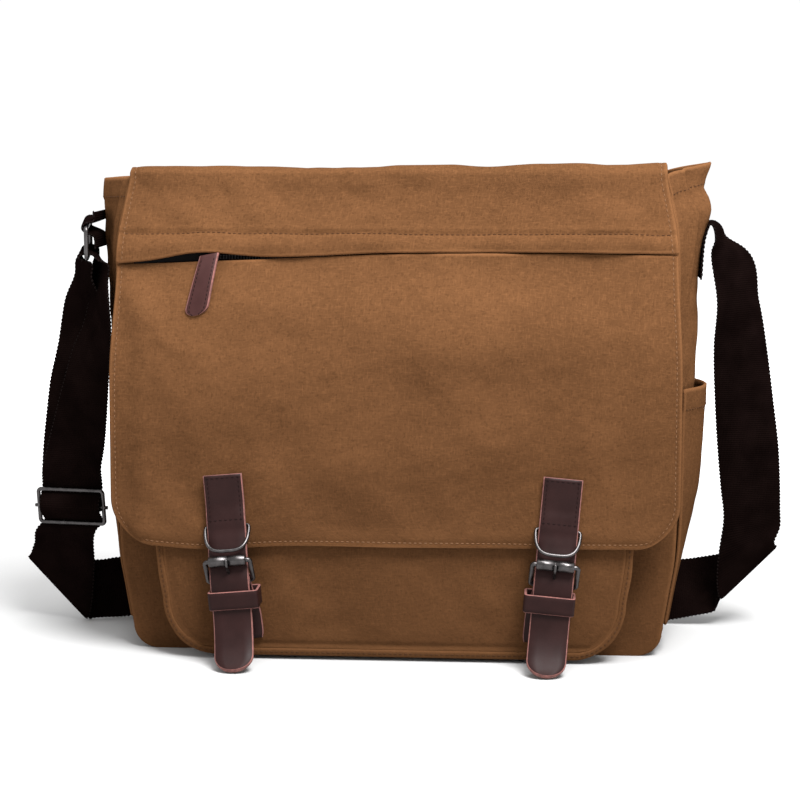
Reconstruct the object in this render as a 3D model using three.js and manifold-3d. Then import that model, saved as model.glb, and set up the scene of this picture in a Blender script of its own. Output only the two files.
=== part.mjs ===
// A canvas musette bag on its flat base: millimetres, +Z up, the flap's front faces -Y.
import * as THREE from 'three';
import { mergeVertices } from 'three/addons/utils/BufferGeometryUtils.js';
import Module from 'manifold-3d';

const wasm = await Module();
wasm.setup();

// Cloth, leather, wire and the clearance between sewn or threaded pieces
const canvas = 1.8;
const seamGap = 0.3;
const leather = 2.6;
const thinLeather = 2;
const tape = 1;

// Driving dimensions of the bag's body
const bag = {
  height: 279,
  halfWidth: 163,
  halfDepth: 38,
  cornerRadius: 14,
  sideBulge: 12,
  backCrown: 3,
  rightTipRise: 7.7,
  leftTipRise: -2,
  tipRound: 0.6,
};

// The front pocket with its pinched rim
const pocket = {
  top: 178,
  bottom: 2.4,
  halfWidth: 138,
  depth: 22,
  topTaper: 0.22,
  taperFrom: 100,
  crown: 2.5,
  rimWidth: 4.5,
  rimThickness: 3.4,
  rimLip: 0.6,
  cornerAcross: 30.6,
  cornerUp: 33.6,
};

const sidePocket = { mouth: 157, foot: 18, reach: 0.92, gapeFrom: 40, gapeRight: 4.4, gapeLeft: 0.2 };

// The flap and the zip that crosses it
const flap = {
  cloth: 2,
  roofHalfWidth: 155,
  halfWidth: 164,
  sewnHeight: 263,
  roofRise: 3,
  roofTilt: 1.5,
  roofDip: 1.2,
  foldHeight: 248,
  lift: 3.5,
  edgeHeight: 234,
  edgeWave: 4,
  edgeGap: 1.5,
  archHeight: 4.4,
  archCentre: -112,
  archWidth: 26,
  hem: 69,
  hemSag: 3,
  sagCentre: -110,
  sagWidth: 34,
  sagReach: 60,
  hemRipple: 1.2,
  cornerRadius: 25,
  edgeDrape: 0.22,
  topNarrowing: 2.6,
};

const zip = { top: 247, bottom: 222, halfWidth: 152, standoff: 2, place: -107 };
const slide = { width: 6, height: 4.2, depth: 3.4, foot: 231.2 };
const puller = { top: 234.6, length: 34, topWidth: 10.5, width: 12.5, thickness: 2.6, lean: 0.2 };

// A buckle strap and its hardware, upright, with heights above the ground
const closure = {
  place: 97.7,
  top: 110,
  width: 22.5,
  lean: 0.087,
  tipForward: 17,
  dRingHeight: 80,
  rollerHeight: 62,
  rollerRadius: 3.1,
  rollerBore: 1.8,
  rollerLength: 21.5,
  hingeHeight: 49,
  hingeForward: 72,
  frameRise: 6.7,
  frameHalfWidth: 13,
  wire: 1.4,
  keeperHeight: 10.5,
  keeperTop: 44.3,
  keeperWall: 1.5,
  anchorFoot: 12,
  anchorShift: 3,
  prong: 0.8,
  slotWidth: 4.2,
};
const dRing = { halfWidth: 12.8, wire: 1, drop: 12, forward: 12.2 };

// The shoulder strap: reach is how far it hangs out beside the bag
const strap = {
  width: 38,
  thickness: 1.5,
  reach: 50,
  setBack: 44,
  hang: 250,
  sewnLow: 220,
  sewnHigh: 243,
  tabWidth: 36,
  tabForward: 6,
};
const ring = { halfWidth: 20.8, halfHeight: 8.8, wire: 1.4, cornerRadius: 1.9, loopSlack: 2.4 };
const slider = { halfWidth: 20.8, halfHeight: 10.6, wire: 1.25, bar: 1.1, cornerRadius: 2, barReach: 23.4 };

const colours = {
  canvas: 0x7a5434,
  leather: 0x3c2626,
  webbing: 0x1d1312,
  metal: 0x4b4747,
  zip: 0x17110e,
};

const clamp = (value, low = 0, high = 1) => Math.min(Math.max(value, low), high);
const lerp = (a, b, t) => a + (b - a) * t;
const smooth = t => clamp(t) ** 2 * (3 - 2 * clamp(t));
const bell = (x, centre, width) => Math.exp(-(((x - centre) / width) ** 2));
const crownAt = (x, half) => Math.cos((Math.PI / 2) * clamp(Math.abs(x) / half)) ** 2;
const range = count => Array.from({ length: count }, (_, i) => i);
const point = (x, y, z) => new THREE.Vector3(x, y, z);

// A smooth curve through one column of a table, read by its `up` column
function follow(rows, name) {
  const at = rows.map(row => row.up);
  const value = rows.map(row => row[name]);
  const last = at.length - 1;
  const slope = value.map((_, i) => {
    const before = Math.max(i - 1, 0);
    const after = Math.min(i + 1, last);
    const turns = i > before && after > i && (value[after] - value[i]) * (value[i] - value[before]) <= 0;
    return turns ? 0 : (value[after] - value[before]) / (at[after] - at[before]);
  });
  return up => {
    const i = clamp(at.filter(edge => edge <= up).length - 1, 0, last - 1);
    const step = at[i + 1] - at[i];
    const t = clamp((up - at[i]) / step);
    const rise = value[i + 1] - value[i];
    const startBend = slope[i] * step - rise;
    const endBend = rise - slope[i + 1] * step;
    return value[i] + rise * t + t * (1 - t) * (startBend * (1 - t) + endBend * t);
  };
}

// Closed meshes: a loft through matching rings, and a cloth sheet with two faces and a rim
function closedGeometry(vertices, triangles) {
  const geometry = new THREE.BufferGeometry();
  geometry.setAttribute('position', new THREE.Float32BufferAttribute(vertices.flatMap(v => v.toArray()), 3));
  const wedge = ([a, b, c]) => vertices[a].dot(cross(vertices[b], vertices[c]));
  const volume = triangles.reduce((sum, triangle) => sum + wedge(triangle), 0);
  geometry.setIndex(triangles.flatMap(([a, b, c]) => (volume > 0 ? [a, b, c] : [a, c, b])));
  return geometry;
}

function cross(a, b) {
  return new THREE.Vector3().crossVectors(a, b);
}

function quad(a, b, c, d) {
  return [[a, b, c], [a, c, d]];
}

function loft(rings, isLoop = false) {
  const sides = rings[0].length;
  const spans = isLoop ? rings.length : rings.length - 1;
  const at = (i, j) => (i % rings.length) * sides + (j % sides);
  const triangles = range(spans).flatMap(i =>
    range(sides).flatMap(j => quad(at(i, j), at(i + 1, j), at(i + 1, j + 1), at(i, j + 1))));
  if (!isLoop) {
    const last = rings.length - 1;
    range(sides - 2).forEach(j => {
      triangles.push([at(0, 0), at(0, j + 1), at(0, j + 2)]);
      triangles.push([at(last, 0), at(last, j + 2), at(last, j + 1)]);
    });
  }
  return closedGeometry(rings.flat(), triangles);
}

// rows and columns are lists of parameters; outer and inner give a point for each pair
function sheet(rows, columns, outer, inner) {
  const across = columns.length;
  const face = rows.length * across;
  const top = (i, j) => i * across + j;
  const under = (i, j) => face + top(i, j);
  const points = side => rows.flatMap(row => columns.map(column => side(row, column)));
  const vertices = [...points(outer), ...points(inner)];
  const triangles = [];
  range(rows.length - 1).forEach(i => range(across - 1).forEach(j => {
    triangles.push(...quad(top(i, j), top(i + 1, j), top(i + 1, j + 1), top(i, j + 1)));
    triangles.push(...quad(under(i, j), under(i, j + 1), under(i + 1, j + 1), under(i + 1, j)));
  }));
  const edge = [
    ...range(across - 1).map(j => [0, j]),
    ...range(rows.length - 1).map(i => [i, across - 1]),
    ...range(across - 1).map(j => [rows.length - 1, across - 1 - j]),
    ...range(rows.length - 1).map(i => [rows.length - 1 - i, 0]),
  ];
  edge.forEach(([i, j], k) => {
    const [i2, j2] = edge[(k + 1) % edge.length];
    triangles.push(...quad(top(i, j), top(i2, j2), under(i2, j2), under(i, j)));
  });
  return closedGeometry(vertices, triangles);
}

// A flat strip through stations with a centre and a direction across, its face turned by its path
function ribbon(stations, thickness) {
  const last = stations.length - 1;
  const rings = stations.map((station, i) => {
    const ahead = stations[Math.min(i + 1, last)].centre.clone().sub(stations[Math.max(i - 1, 0)].centre);
    const half = station.across.clone().multiplyScalar(0.5);
    const face = cross(ahead, half).setLength(thickness / 2);
    const corner = (side, depth) =>
      station.centre.clone().addScaledVector(half, side).addScaledVector(face, depth);
    return [corner(-1, 1), corner(1, 1), corner(1, -1), corner(-1, -1)];
  });
  return loft(rings);
}

// A round wire along a closed flat outline, placed by `place(across, along, off)`
function wireLoop(outline, radius, place, sides = 6) {
  const rings = outline.map(([u, v], i) => {
    const before = outline.at(i - 1);
    const after = outline[(i + 1) % outline.length];
    const ahead = new THREE.Vector2(after[0] - before[0], after[1] - before[1]).normalize();
    return range(sides).map(k => {
      const angle = (2 * Math.PI * (k + 0.5)) / sides;
      const out = radius * Math.cos(angle);
      return place(u + ahead.y * out, v - ahead.x * out, radius * Math.sin(angle));
    });
  });
  return loft(rings, true);
}

function roundedOutline(halfWidth, halfHeight, radius, steps = 3) {
  const corners = [[1, 1], [-1, 1], [-1, -1], [1, -1]];
  return corners.flatMap(([sx, sy], quarter) => range(steps + 1).map(k => {
    const angle = (Math.PI / 2) * (quarter + k / steps);
    const u = sx * (halfWidth - radius) + radius * Math.cos(angle);
    return [u, sy * (halfHeight - radius) + radius * Math.sin(angle)];
  }));
}

// Solids for cutting and joining
function bareGeometry(geometry) {
  const bare = geometry.clone();
  bare.deleteAttribute('normal');
  bare.deleteAttribute('uv');
  return bare;
}

function solidOf(geometry) {
  const merged = mergeVertices(bareGeometry(geometry), 1e-4);
  const vertProperties = Float32Array.from(merged.attributes.position.array);
  const triVerts = Uint32Array.from(merged.index.array);
  return new wasm.Manifold(new wasm.Mesh({ numProp: 3, vertProperties, triVerts }));
}

function geometryOf(solid) {
  const mesh = solid.getMesh();
  const geometry = new THREE.BufferGeometry();
  geometry.setAttribute('position', new THREE.BufferAttribute(Float32Array.from(mesh.vertProperties), 3));
  geometry.setIndex(Array.from(mesh.triVerts));
  return geometry;
}

const cut = (body, tool) => geometryOf(solidOf(body).subtract(solidOf(tool)));
const join = (body, other) => geometryOf(solidOf(body).add(solidOf(other)));

// The body: `up` is a share of the height, `seam` of the half width, `depth` of the half depth,
// `left` and `right` of the side bulge; `sharp` turns a round side into a folded one, `flat` blunts it
const bodyLevels = [
  { up: 0, seam: 0.945, depth: 1, left: 0, right: 0.1, sharp: 0, flat: 0 },
  { up: 0.05, seam: 0.955, depth: 1, left: 0.2, right: 0.3, sharp: 0, flat: 0 },
  { up: 0.125, seam: 0.975, depth: 1, left: 0.25, right: 0.35, sharp: 0, flat: 0 },
  { up: 0.215, seam: 0.9975, depth: 1, left: 0.35, right: 0.45, sharp: 0, flat: 0 },
  { up: 0.36, seam: 1, depth: 1, left: 0.65, right: 0.9, sharp: 0, flat: 0 },
  { up: 0.54, seam: 1, depth: 1, left: 0.7, right: 1, sharp: 0, flat: 0 },
  { up: 0.745, seam: 1, depth: 1, left: 1, right: 1, sharp: 0.4, flat: 0.3 },
  { up: 0.845, seam: 0.997, depth: 0.96, left: 1.18, right: 1.13, sharp: 1, flat: 0.45 },
  { up: 0.885, seam: 0.993, depth: 0.9, left: 1.28, right: 1.38, sharp: 1, flat: 0.45 },
  { up: 0.917, seam: 0.984, depth: 0.86, left: 1.42, right: 1.64, sharp: 1, flat: 0.4 },
  { up: 0.95, seam: 0.971, depth: 0.8, left: 1.6, right: 1.58, sharp: 1, flat: 0.2 },
  { up: 1, seam: 0.945, depth: 0.737, left: 1.92, right: 2.26, sharp: 1, flat: 0 },
];
const bodyColumn = Object.fromEntries(
  ['seam', 'depth', 'left', 'right', 'sharp', 'flat'].map(name => [name, follow(bodyLevels, name)]));
const share = z => clamp(z / bag.height);
const seamAt = z => bag.halfWidth * bodyColumn.seam(share(z));
const depthAt = z => bag.halfDepth * bodyColumn.depth(share(z));
const bulgeAt = (side, z) => bag.sideBulge * bodyColumn[side > 0 ? 'right' : 'left'](share(z));
function sideFold(side, z, v) {
  const blunt = side > 0 ? bodyColumn.flat(share(z)) : 0;
  const folded = Math.min(1, (1 - Math.abs(v)) / (1 - blunt));
  return lerp(1 - v * v, folded, clamp(bodyColumn.sharp(share(z))));
}
const tipRise = side => (side > 0 ? bag.rightTipRise : bag.leftTipRise);
const gussetReach = z => depthAt(z) - canvas - seamGap;

// A point on the gusset's outer face: v runs from the front seam, -1, to the back seam, 1
function gussetFace(side, z, v) {
  const fold = sideFold(side, z, v);
  const out = seamAt(z) + bulgeAt(side, z) * fold;
  const rise = tipRise(side) * fold ** bag.tipRound * smooth((share(z) - 0.75) / 0.25);
  return point(side * out, v * gussetReach(z), z + rise);
}

// Heights up one side, with steps between the table's rows, then the rounded lower corner
const cornerAngles = [0, 1 / 3, 2 / 3, 1].map(part => (part * Math.PI) / 2);
const sideHeights = bodyLevels.slice(1).flatMap(({ up }, i, rows) => {
  const next = rows[i + 1];
  return next && next.up - up > 0.1 ? [up, (up + next.up) / 2] : [up];
}).map(up => Math.max(up * bag.height, bag.cornerRadius));
const cornerCentre = seamAt(bag.cornerRadius) - bag.cornerRadius;
const cornerHeight = angle => bag.cornerRadius * (1 - Math.sin(angle));
const cornerOut = angle => cornerCentre + bag.cornerRadius * Math.cos(angle);

const panelRows = [
  ...[...cornerAngles].reverse().map(angle => ({ z: cornerHeight(angle), half: cornerOut(angle) })),
  ...sideHeights.slice(1).map(z => ({ z, half: seamAt(z) })),
];
const panelColumns = range(11).map(i => i / 5 - 1);

const panelSwell = (crown, z, u) => crown * crownAt(u, 1) * Math.sin(Math.PI * share(z)) ** 2;

function panel(facing, crown) {
  const face = inset => (row, u) => point(
    u * row.half, facing * (depthAt(row.z) - inset + panelSwell(crown, row.z, u)), row.z);
  return sheet(panelRows, panelColumns, face(0), face(canvas));
}

const gussetColumns = [-1, -0.72, -0.45, -0.2, 0, 0.2, 0.45, 0.72, 1];

// The gusset runs down the left side, along the bottom and up the right side
function gusset() {
  const down = [...sideHeights].reverse();
  const sideRows = side => down.map(z => ({ side, z }));
  const cornerRows = side => cornerAngles.slice(1, -1).map(angle => ({ side, angle }));
  const bottomRows = [-1, -0.5, 0, 0.5, 1].map(part => ({ part }));
  const rows = [
    ...sideRows(-1), ...cornerRows(-1), ...bottomRows, ...cornerRows(1).reverse(), ...sideRows(1).reverse(),
  ];
  const face = inset => (row, v) => {
    if (row.z !== undefined) {
      const place = gussetFace(row.side, row.z, v);
      place.x -= row.side * inset;
      return place;
    }
    const y = v * gussetReach(0);
    if (row.part !== undefined) return point(row.part * cornerCentre, y, inset);
    const bulge = bulgeAt(row.side, bag.cornerRadius) * sideFold(row.side, 0, v) * Math.cos(row.angle) ** 2;
    const radius = bag.cornerRadius - inset;
    const x = cornerCentre + (radius + bulge) * Math.cos(row.angle);
    return point(row.side * x, y, bag.cornerRadius - radius * Math.sin(row.angle));
  };
  return sheet(rows, gussetColumns, face(0), face(canvas));
}

// Slip pockets follow the gusset and gape a little at the mouth
function sidePocketPatch(side, gape) {
  const between = sideHeights.filter(z => z > sidePocket.foot + 2 && z < sidePocket.mouth - 2);
  const rows = [sidePocket.foot, ...between, sidePocket.mouth];
  const columns = [-sidePocket.reach, ...gussetColumns.slice(1, -1), sidePocket.reach];
  const face = inset => (z, v) => {
    const opening = smooth((z - sidePocket.gapeFrom) / (sidePocket.mouth - sidePocket.gapeFrom))
      * (1 - (v / sidePocket.reach) ** 2);
    const place = gussetFace(side, z, v);
    place.x += side * (1.7 * seamGap + canvas - inset + gape * opening);
    return place;
  };
  return sheet(rows, columns, face(0), face(canvas));
}

// The raised front pocket: an outline with leaning sides and rounded lower corners, inset inwards
function pocketOutline(inset) {
  const cornerTop = pocket.bottom + pocket.cornerUp;
  const foot = pocket.halfWidth - 3.4;
  const centre = foot - pocket.cornerAcross;
  const sideRows = [
    { up: 0, half: foot }, { up: 0.17, half: pocket.halfWidth }, { up: 0.45, half: pocket.halfWidth + 0.8 },
    { up: 0.62, half: pocket.halfWidth + 1.2 }, { up: 0.8, half: pocket.halfWidth + 1.6 },
    { up: 1, half: pocket.halfWidth + 2 },
  ].map(({ up, half }) => ({ z: lerp(cornerTop, pocket.top, up), half: half - inset }));
  const cornerRows = [1, 0.8, 0.6, 0.4, 0.2].map(part => (part * Math.PI) / 2).map(angle => ({
    z: cornerTop - (pocket.cornerUp - inset) * Math.sin(angle),
    half: centre + (pocket.cornerAcross - inset) * Math.cos(angle),
  }));
  return [...cornerRows, ...sideRows];
}

function pocketPlane(z) {
  const taper = smooth((z - pocket.taperFrom) / (pocket.top - pocket.taperFrom));
  return bag.halfDepth + pocket.depth * (1 - pocket.topTaper * taper);
}

const pocketFaceInset = pocket.rimWidth + seamGap;

function pocketFace() {
  const rows = pocketOutline(pocketFaceInset);
  const low = rows[0].z;
  const swell = (x, z) => pocket.crown * crownAt(x, pocket.halfWidth - pocketFaceInset)
    * Math.sin(Math.PI * clamp((z - low) / (pocket.top - low))) ** 2;
  const face = inset => (row, u) => {
    const x = u * row.half;
    return point(x, -(pocketPlane(row.z) + swell(x, row.z) - inset), row.z);
  };
  const columns = [-1, -0.93, -0.8, -0.6, -0.3, 0, 0.3, 0.6, 0.8, 0.93, 1];
  return sheet(rows, columns, face(0), face(canvas));
}

const bothSides = rows => [...[...rows].reverse().map(row => ({ ...row, half: -row.half })), ...rows];

function pocketStrip(outerInset, innerInset, nearDepth, farDepth) {
  const outer = bothSides(pocketOutline(outerInset));
  const inner = bothSides(pocketOutline(innerInset));
  const rings = outer.map((row, i) => [
    point(row.half, -farDepth(row.z), row.z), point(row.half, -nearDepth(row.z), row.z),
    point(inner[i].half, -nearDepth(row.z), inner[i].z), point(inner[i].half, -farDepth(row.z), inner[i].z),
  ]);
  return loft(rings);
}

function pocketGusset() {
  const near = () => bag.halfDepth + seamGap;
  return pocketStrip(pocketFaceInset, pocketFaceInset + canvas, near, z => pocketPlane(z) - canvas - seamGap);
}

function pocketRim() {
  const far = z => pocketPlane(z) + pocket.rimLip;
  return pocketStrip(0, pocket.rimWidth, z => far(z) - pocket.rimThickness, far);
}

// The zip's line across the flap: `up` runs from the left side to the right, `rise` is a share of the wave
const zipLine = [
  { up: 0, rise: -1.05 }, { up: 0.17, rise: -0.45 }, { up: 0.33, rise: 0.1 }, { up: 0.5, rise: 0.7 },
  { up: 0.75, rise: 0.8 }, { up: 1, rise: 0.68 },
];
const zipRise = follow(zipLine, 'rise');
const edgeBase = x => flap.edgeHeight + flap.edgeWave * zipRise((x / flap.halfWidth + 1) / 2);
const edgeHeight = x => edgeBase(x) + flap.archHeight * bell(x, flap.archCentre, flap.archWidth);
const frontTop = x => edgeBase(x) - flap.edgeGap;

// The flap's front: `up` is the share of the way down from the zip to the hem
const flapFall = [
  { up: 0, lift: 0.05 }, { up: 0.13, lift: 0.4 }, { up: 0.23, lift: 0.63 }, { up: 0.323, lift: 0.81 },
  { up: 0.4, lift: 0.89 }, { up: 0.55, lift: 0.96 }, { up: 0.8, lift: 1 }, { up: 1, lift: 1 },
];
const flapLift = follow(flapFall, 'lift');

function flapFrontDepth(x, z) {
  const down = clamp((frontTop(x) - z) / (frontTop(x) - flap.hem));
  const drape = 1 - flap.edgeDrape * smooth((Math.abs(x) - pocket.halfWidth - 4) / 18);
  const stand = (pocket.depth + pocket.rimLip) * flapLift(down) * drape;
  const ripple = flap.hemRipple * smooth((down - 0.75) / 0.25) * (0.5 + 0.5 * Math.cos(x / 17));
  const swell = pocket.crown * crownAt(x, bag.halfWidth) * smooth(down / 0.3);
  return bag.halfDepth + 2 * seamGap + flap.cloth + stand + swell + ripple;
}

const flapSag = (x, z) => -flap.hemSag * bell(x, flap.sagCentre, flap.sagWidth)
  * smooth(1 - (z - flap.hem) / flap.sagReach);

function flapLower() {
  const cornerRows = [1, 0.8, 0.6, 0.35, 0.15].map(part => (part * Math.PI) / 2).map(angle => ({
    z: () => flap.hem + flap.cornerRadius * (1 - Math.sin(angle)),
    half: flap.halfWidth - flap.cornerRadius * (1 - Math.cos(angle)),
  }));
  const side = flap.hem + flap.cornerRadius;
  const sideRows = [0.08, 0.25, 0.42, 0.56, 0.68, 0.8, 0.9, 1].map(part => ({
    z: x => lerp(side, frontTop(x), part),
    half: flap.halfWidth - flap.topNarrowing * smooth((part - 0.5) / 0.5),
  }));
  const rows = [...cornerRows, ...sideRows];
  const columns = [
    -1, -0.96, -0.9, -0.8, -0.68, -0.54, -0.4, -0.2, 0, 0.2, 0.4, 0.54, 0.68, 0.8, 0.9, 0.96, 1,
  ];
  const face = inset => (row, u) => {
    const x = u * row.half;
    const z = row.z(x);
    return point(x, inset - flapFrontDepth(x, z), z + flapSag(x, z));
  };
  return sheet(rows, columns, face(0), face(flap.cloth));
}

// The flap's roof: `back` is a share of the rim's half depth, `rise` of the roof's rise
const roofRows = [
  { back: 1.02, rise: -1 }, { back: 0.99, rise: -0.1 }, { back: 0.86, rise: 0.2 }, { back: 0.5, rise: 0.4 },
  { back: 0, rise: 0.6 }, { back: -0.45, rise: 0.78 }, { back: -0.85, rise: 0.8 }, { back: -0.99, rise: 0.1 },
  { back: -1.02, rise: -1 },
];
// Its front above the zip: `down` runs from the rim to the fold, `lift` is a share of flap.lift
const fallRows = [
  { down: 0.25, lift: 0.1 }, { down: 0.6, lift: 0.3 }, { down: 0.85, lift: 0.45 }, { down: 1, lift: 0.62 },
];
// The band below the fold: `down` runs from the fold to the free edge
const bandRows = [{ down: 0.15, lift: 0.85 }, { down: 0.55, lift: 1.25 }, { down: 1, lift: 1.2 }];

function flapUpper() {
  const rimDepth = depthAt(bag.height) + seamGap + flap.cloth;
  const roofHeight = bag.height + seamGap + flap.cloth;
  const lift = (x, rise) => flap.roofRise * rise + Math.max(rise, 0)
    * (flap.roofTilt * (1 + x / flap.roofHalfWidth) - flap.roofDip * crownAt(x, flap.roofHalfWidth));
  const backRows = [0, 0.55].map(part => lerp(flap.sewnHeight, bag.height, part)).map(z => ({
    half: flap.roofHalfWidth,
    at: x => [depthAt(z) + panelSwell(bag.backCrown, z, x / flap.roofHalfWidth) + seamGap + flap.cloth, z],
  }));
  const topRows = roofRows.map(({ back, rise }) => ({
    half: flap.roofHalfWidth,
    at: x => [back * rimDepth, roofHeight + lift(x, rise)],
  }));
  const rimStart = roofHeight - flap.roofRise;
  const hang = (z, lift) => -(depthAt(z) + seamGap + flap.cloth + lift * flap.lift);
  const frontRows = fallRows.map(({ down, lift }) => {
    const z = lerp(rimStart, flap.foldHeight, down);
    return { half: lerp(flap.roofHalfWidth, flap.halfWidth - 3.4, down), at: () => [hang(z, lift), z] };
  });
  const lowRows = bandRows.map(({ down, lift }) => ({
    half: flap.halfWidth - 3.4 + down,
    at: x => {
      const z = lerp(flap.foldHeight, edgeHeight(x), down);
      const curl = 0.8 * bell(x, flap.archCentre, 2 * flap.archWidth) * down;
      return [hang(z, lift) - curl, z];
    },
  }));
  const rows = [...backRows, ...topRows, ...frontRows, ...lowRows].map((row, i) => ({ ...row, i }));
  const columns = [-1, -0.86, -0.78, -0.72, -0.66, -0.6, -0.54, -0.46, -0.3, 0, 0.3, 0.6, 0.8, 1];
  const outer = (row, u) => point(u * row.half, ...row.at(u * row.half));
  const inner = (row, u) => {
    const x = u * row.half;
    const before = rows[Math.max(row.i - 1, 0)].at(x);
    const after = rows[Math.min(row.i + 1, rows.length - 1)].at(x);
    const ahead = new THREE.Vector2(after[0] - before[0], after[1] - before[1]).normalize();
    const [y, z] = row.at(x);
    return point(x, y - ahead.y * flap.cloth, z + ahead.x * flap.cloth);
  };
  return sheet(rows, columns, outer, inner);
}

function zipTape() {
  const rows = range(5).map(i => lerp(zip.bottom, zip.top, i / 4));
  const face = inset => (z, u) => point(u * zip.halfWidth, inset - depthAt(z) - zip.standoff, z);
  return sheet(rows, [-1, 0, 1], face(0), face(tape));
}

function zipSlider() {
  const outline = roundedOutline(slide.width / 2, slide.height / 2, 2, 3);
  const back = depthAt(slide.foot) + zip.standoff + seamGap;
  const rings = [0, 1].map(end => outline.map(([x, z]) =>
    point(zip.place + x, -(back + end * slide.depth), slide.foot + slide.height / 2 + z)));
  return loft(rings);
}

function zipPuller() {
  const front = depthAt(slide.foot) + zip.standoff + slide.depth + 2 * seamGap + puller.thickness / 2;
  const lowX = zip.place - puller.length * puller.lean;
  const lowZ = puller.top - puller.length;
  const lowDepth = flapFrontDepth(lowX, lowZ) + 2 * seamGap + puller.thickness / 2;
  const parts = [0, 0.25, 0.5, 0.75, 0.87, 0.94, 0.98, 1];
  const stations = parts.map(part => {
    const round = part > 0.85 ? Math.sqrt(1 - ((part - 0.85) / 0.158) ** 2) : 1;
    const width = lerp(puller.topWidth, puller.width, part) * round;
    const bow = Math.sin(Math.PI * part) * 1.6;
    const centre = point(lerp(zip.place, lowX, part), -lerp(front, lowDepth, part) - bow,
      lerp(puller.top, lowZ, part));
    return { centre, across: point(width, 0, width * puller.lean) };
  });
  return ribbon(stations, puller.thickness);
}

// A closure is built upright in front of the flap, then leaned about its sewn top
const flapFace = z => flapFrontDepth(closure.place - 0.7 * closure.width, z) + seamGap + 0.1;
const ringBarDepth = flapFace(closure.dRingHeight) + dRing.wire + 0.2;
const hingeLoop = closure.wire + seamGap + thinLeather / 2;
const strapRun = closure.hingeForward + hingeLoop + thinLeather / 2 + seamGap + leather / 2;
const frameTilt = Math.atan2(closure.frameRise, closure.rollerHeight - closure.hingeHeight);
const rollerDepth = closure.hingeForward + closure.frameRise;
const behindRoller = rollerDepth - closure.rollerRadius - seamGap - leather / 2;

const flat = (rows, width) => rows.map(([depth, z, share = 1, shift = 0]) => (
  { centre: point(shift, -depth, z), across: point(width * share, 0, 0) }));

function closureStrap() {
  const sewn = z => flapFace(z) + leather / 2;
  const overBar = ringBarDepth + dRing.wire + seamGap + leather / 2;
  const tipDepth = strapRun + closure.tipForward;
  const hanging = [
    [sewn(closure.top), closure.top], [sewn(100), 100], [sewn(92) + 0.4, 92], [overBar - 0.7, 86],
    [overBar, 82], [overBar + 0.2, 78.5], [lerp(overBar, behindRoller, 0.45), 72],
    [behindRoller, closure.rollerHeight + 2], [behindRoller, closure.rollerHeight - 1],
    [lerp(behindRoller, strapRun, 0.5), 55.5], [strapRun, closure.hingeHeight + 1], [strapRun + 0.3, 44.5],
    [strapRun + 0.3, 39], [strapRun + 0.4, 33],
  ];
  const tongue = [
    [0.1, 24], [0.3, 15.5], [0.56, 8.4], [0.72, 5.3, 0.93], [0.85, 3.3, 0.78], [0.94, 2.2, 0.56], [1, 1.6, 0.26],
  ].map(([part, z, share]) => [lerp(strapRun + 0.4, tipDepth, part), z, share]);
  const whole = ribbon(flat([...hanging, ...tongue], closure.width), leather);
  const slot = new THREE.BoxGeometry(closure.slotWidth - 0.4, 8, 7);
  slot.translate(0, -lerp(behindRoller, strapRun, 0.6), 54.2);
  return cut(whole, slot);
}

// The ring hangs from a bar behind the strap and its bow lies over the strap
function dRingWire() {
  const length = Math.hypot(dRing.drop, dRing.forward);
  const bow = range(13).map(i => (Math.PI * (i + 0.8)) / 13.6).map(angle => [
    dRing.halfWidth * Math.sign(Math.cos(angle)) * Math.abs(Math.cos(angle)) ** 0.6,
    length * Math.sin(angle) ** 0.75,
  ]);
  const near = dRing.halfWidth - 1.3;
  const far = dRing.halfWidth - 0.3;
  const outline = [...bow, [-far, 0.7], [-near, 0], [near, 0], [far, 0.7]];
  const along = point(0, -dRing.forward, -dRing.drop).normalize();
  const off = cross(point(1, 0, 0), along);
  const bar = point(0, -ringBarDepth, closure.dRingHeight);
  return wireLoop(outline, dRing.wire, (u, v, w) =>
    bar.clone().add(point(u, 0, 0)).addScaledVector(along, v).addScaledVector(off, w), 8);
}

function buckleFrame() {
  const height = Math.hypot(closure.frameRise, closure.rollerHeight - closure.hingeHeight);
  const outline = roundedOutline(closure.frameHalfWidth, height / 2, 1.6, 3);
  const along = point(0, -Math.sin(frameTilt), Math.cos(frameTilt));
  const off = cross(point(1, 0, 0), along);
  const hinge = point(0, -closure.hingeForward, closure.hingeHeight);
  return wireLoop(outline, closure.wire, (u, v, w) =>
    hinge.clone().add(point(u, 0, 0)).addScaledVector(along, v + height / 2).addScaledVector(off, w), 8);
}

function buckleRoller() {
  const half = closure.rollerLength / 2;
  const profile = [
    [closure.rollerBore, -half], [closure.rollerRadius, -half], [closure.rollerRadius, half],
    [closure.rollerBore, half], [closure.rollerBore, -half],
  ].map(([radius, along]) => new THREE.Vector2(radius, along));
  const geometry = mergeVertices(bareGeometry(new THREE.LatheGeometry(profile, 16)), 1e-4);
  geometry.rotateZ(Math.PI / 2);
  geometry.translate(0, -rollerDepth, closure.rollerHeight);
  return geometryOf(solidOf(geometry));
}

// A wire through points in the closure's middle plane, given as depth and height
function planeWire(path, radius, sides = 8) {
  const rings = path.map(([depth, z], i) => {
    const before = path[Math.max(i - 1, 0)];
    const after = path[Math.min(i + 1, path.length - 1)];
    const ahead = new THREE.Vector2(after[0] - before[0], after[1] - before[1]).normalize();
    return range(sides).map(k => {
      const angle = (2 * Math.PI * (k + 0.5)) / sides;
      const out = radius * Math.cos(angle);
      return point(radius * Math.sin(angle), -(depth + ahead.y * out), z - ahead.x * out);
    });
  });
  return loft(rings);
}

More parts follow.
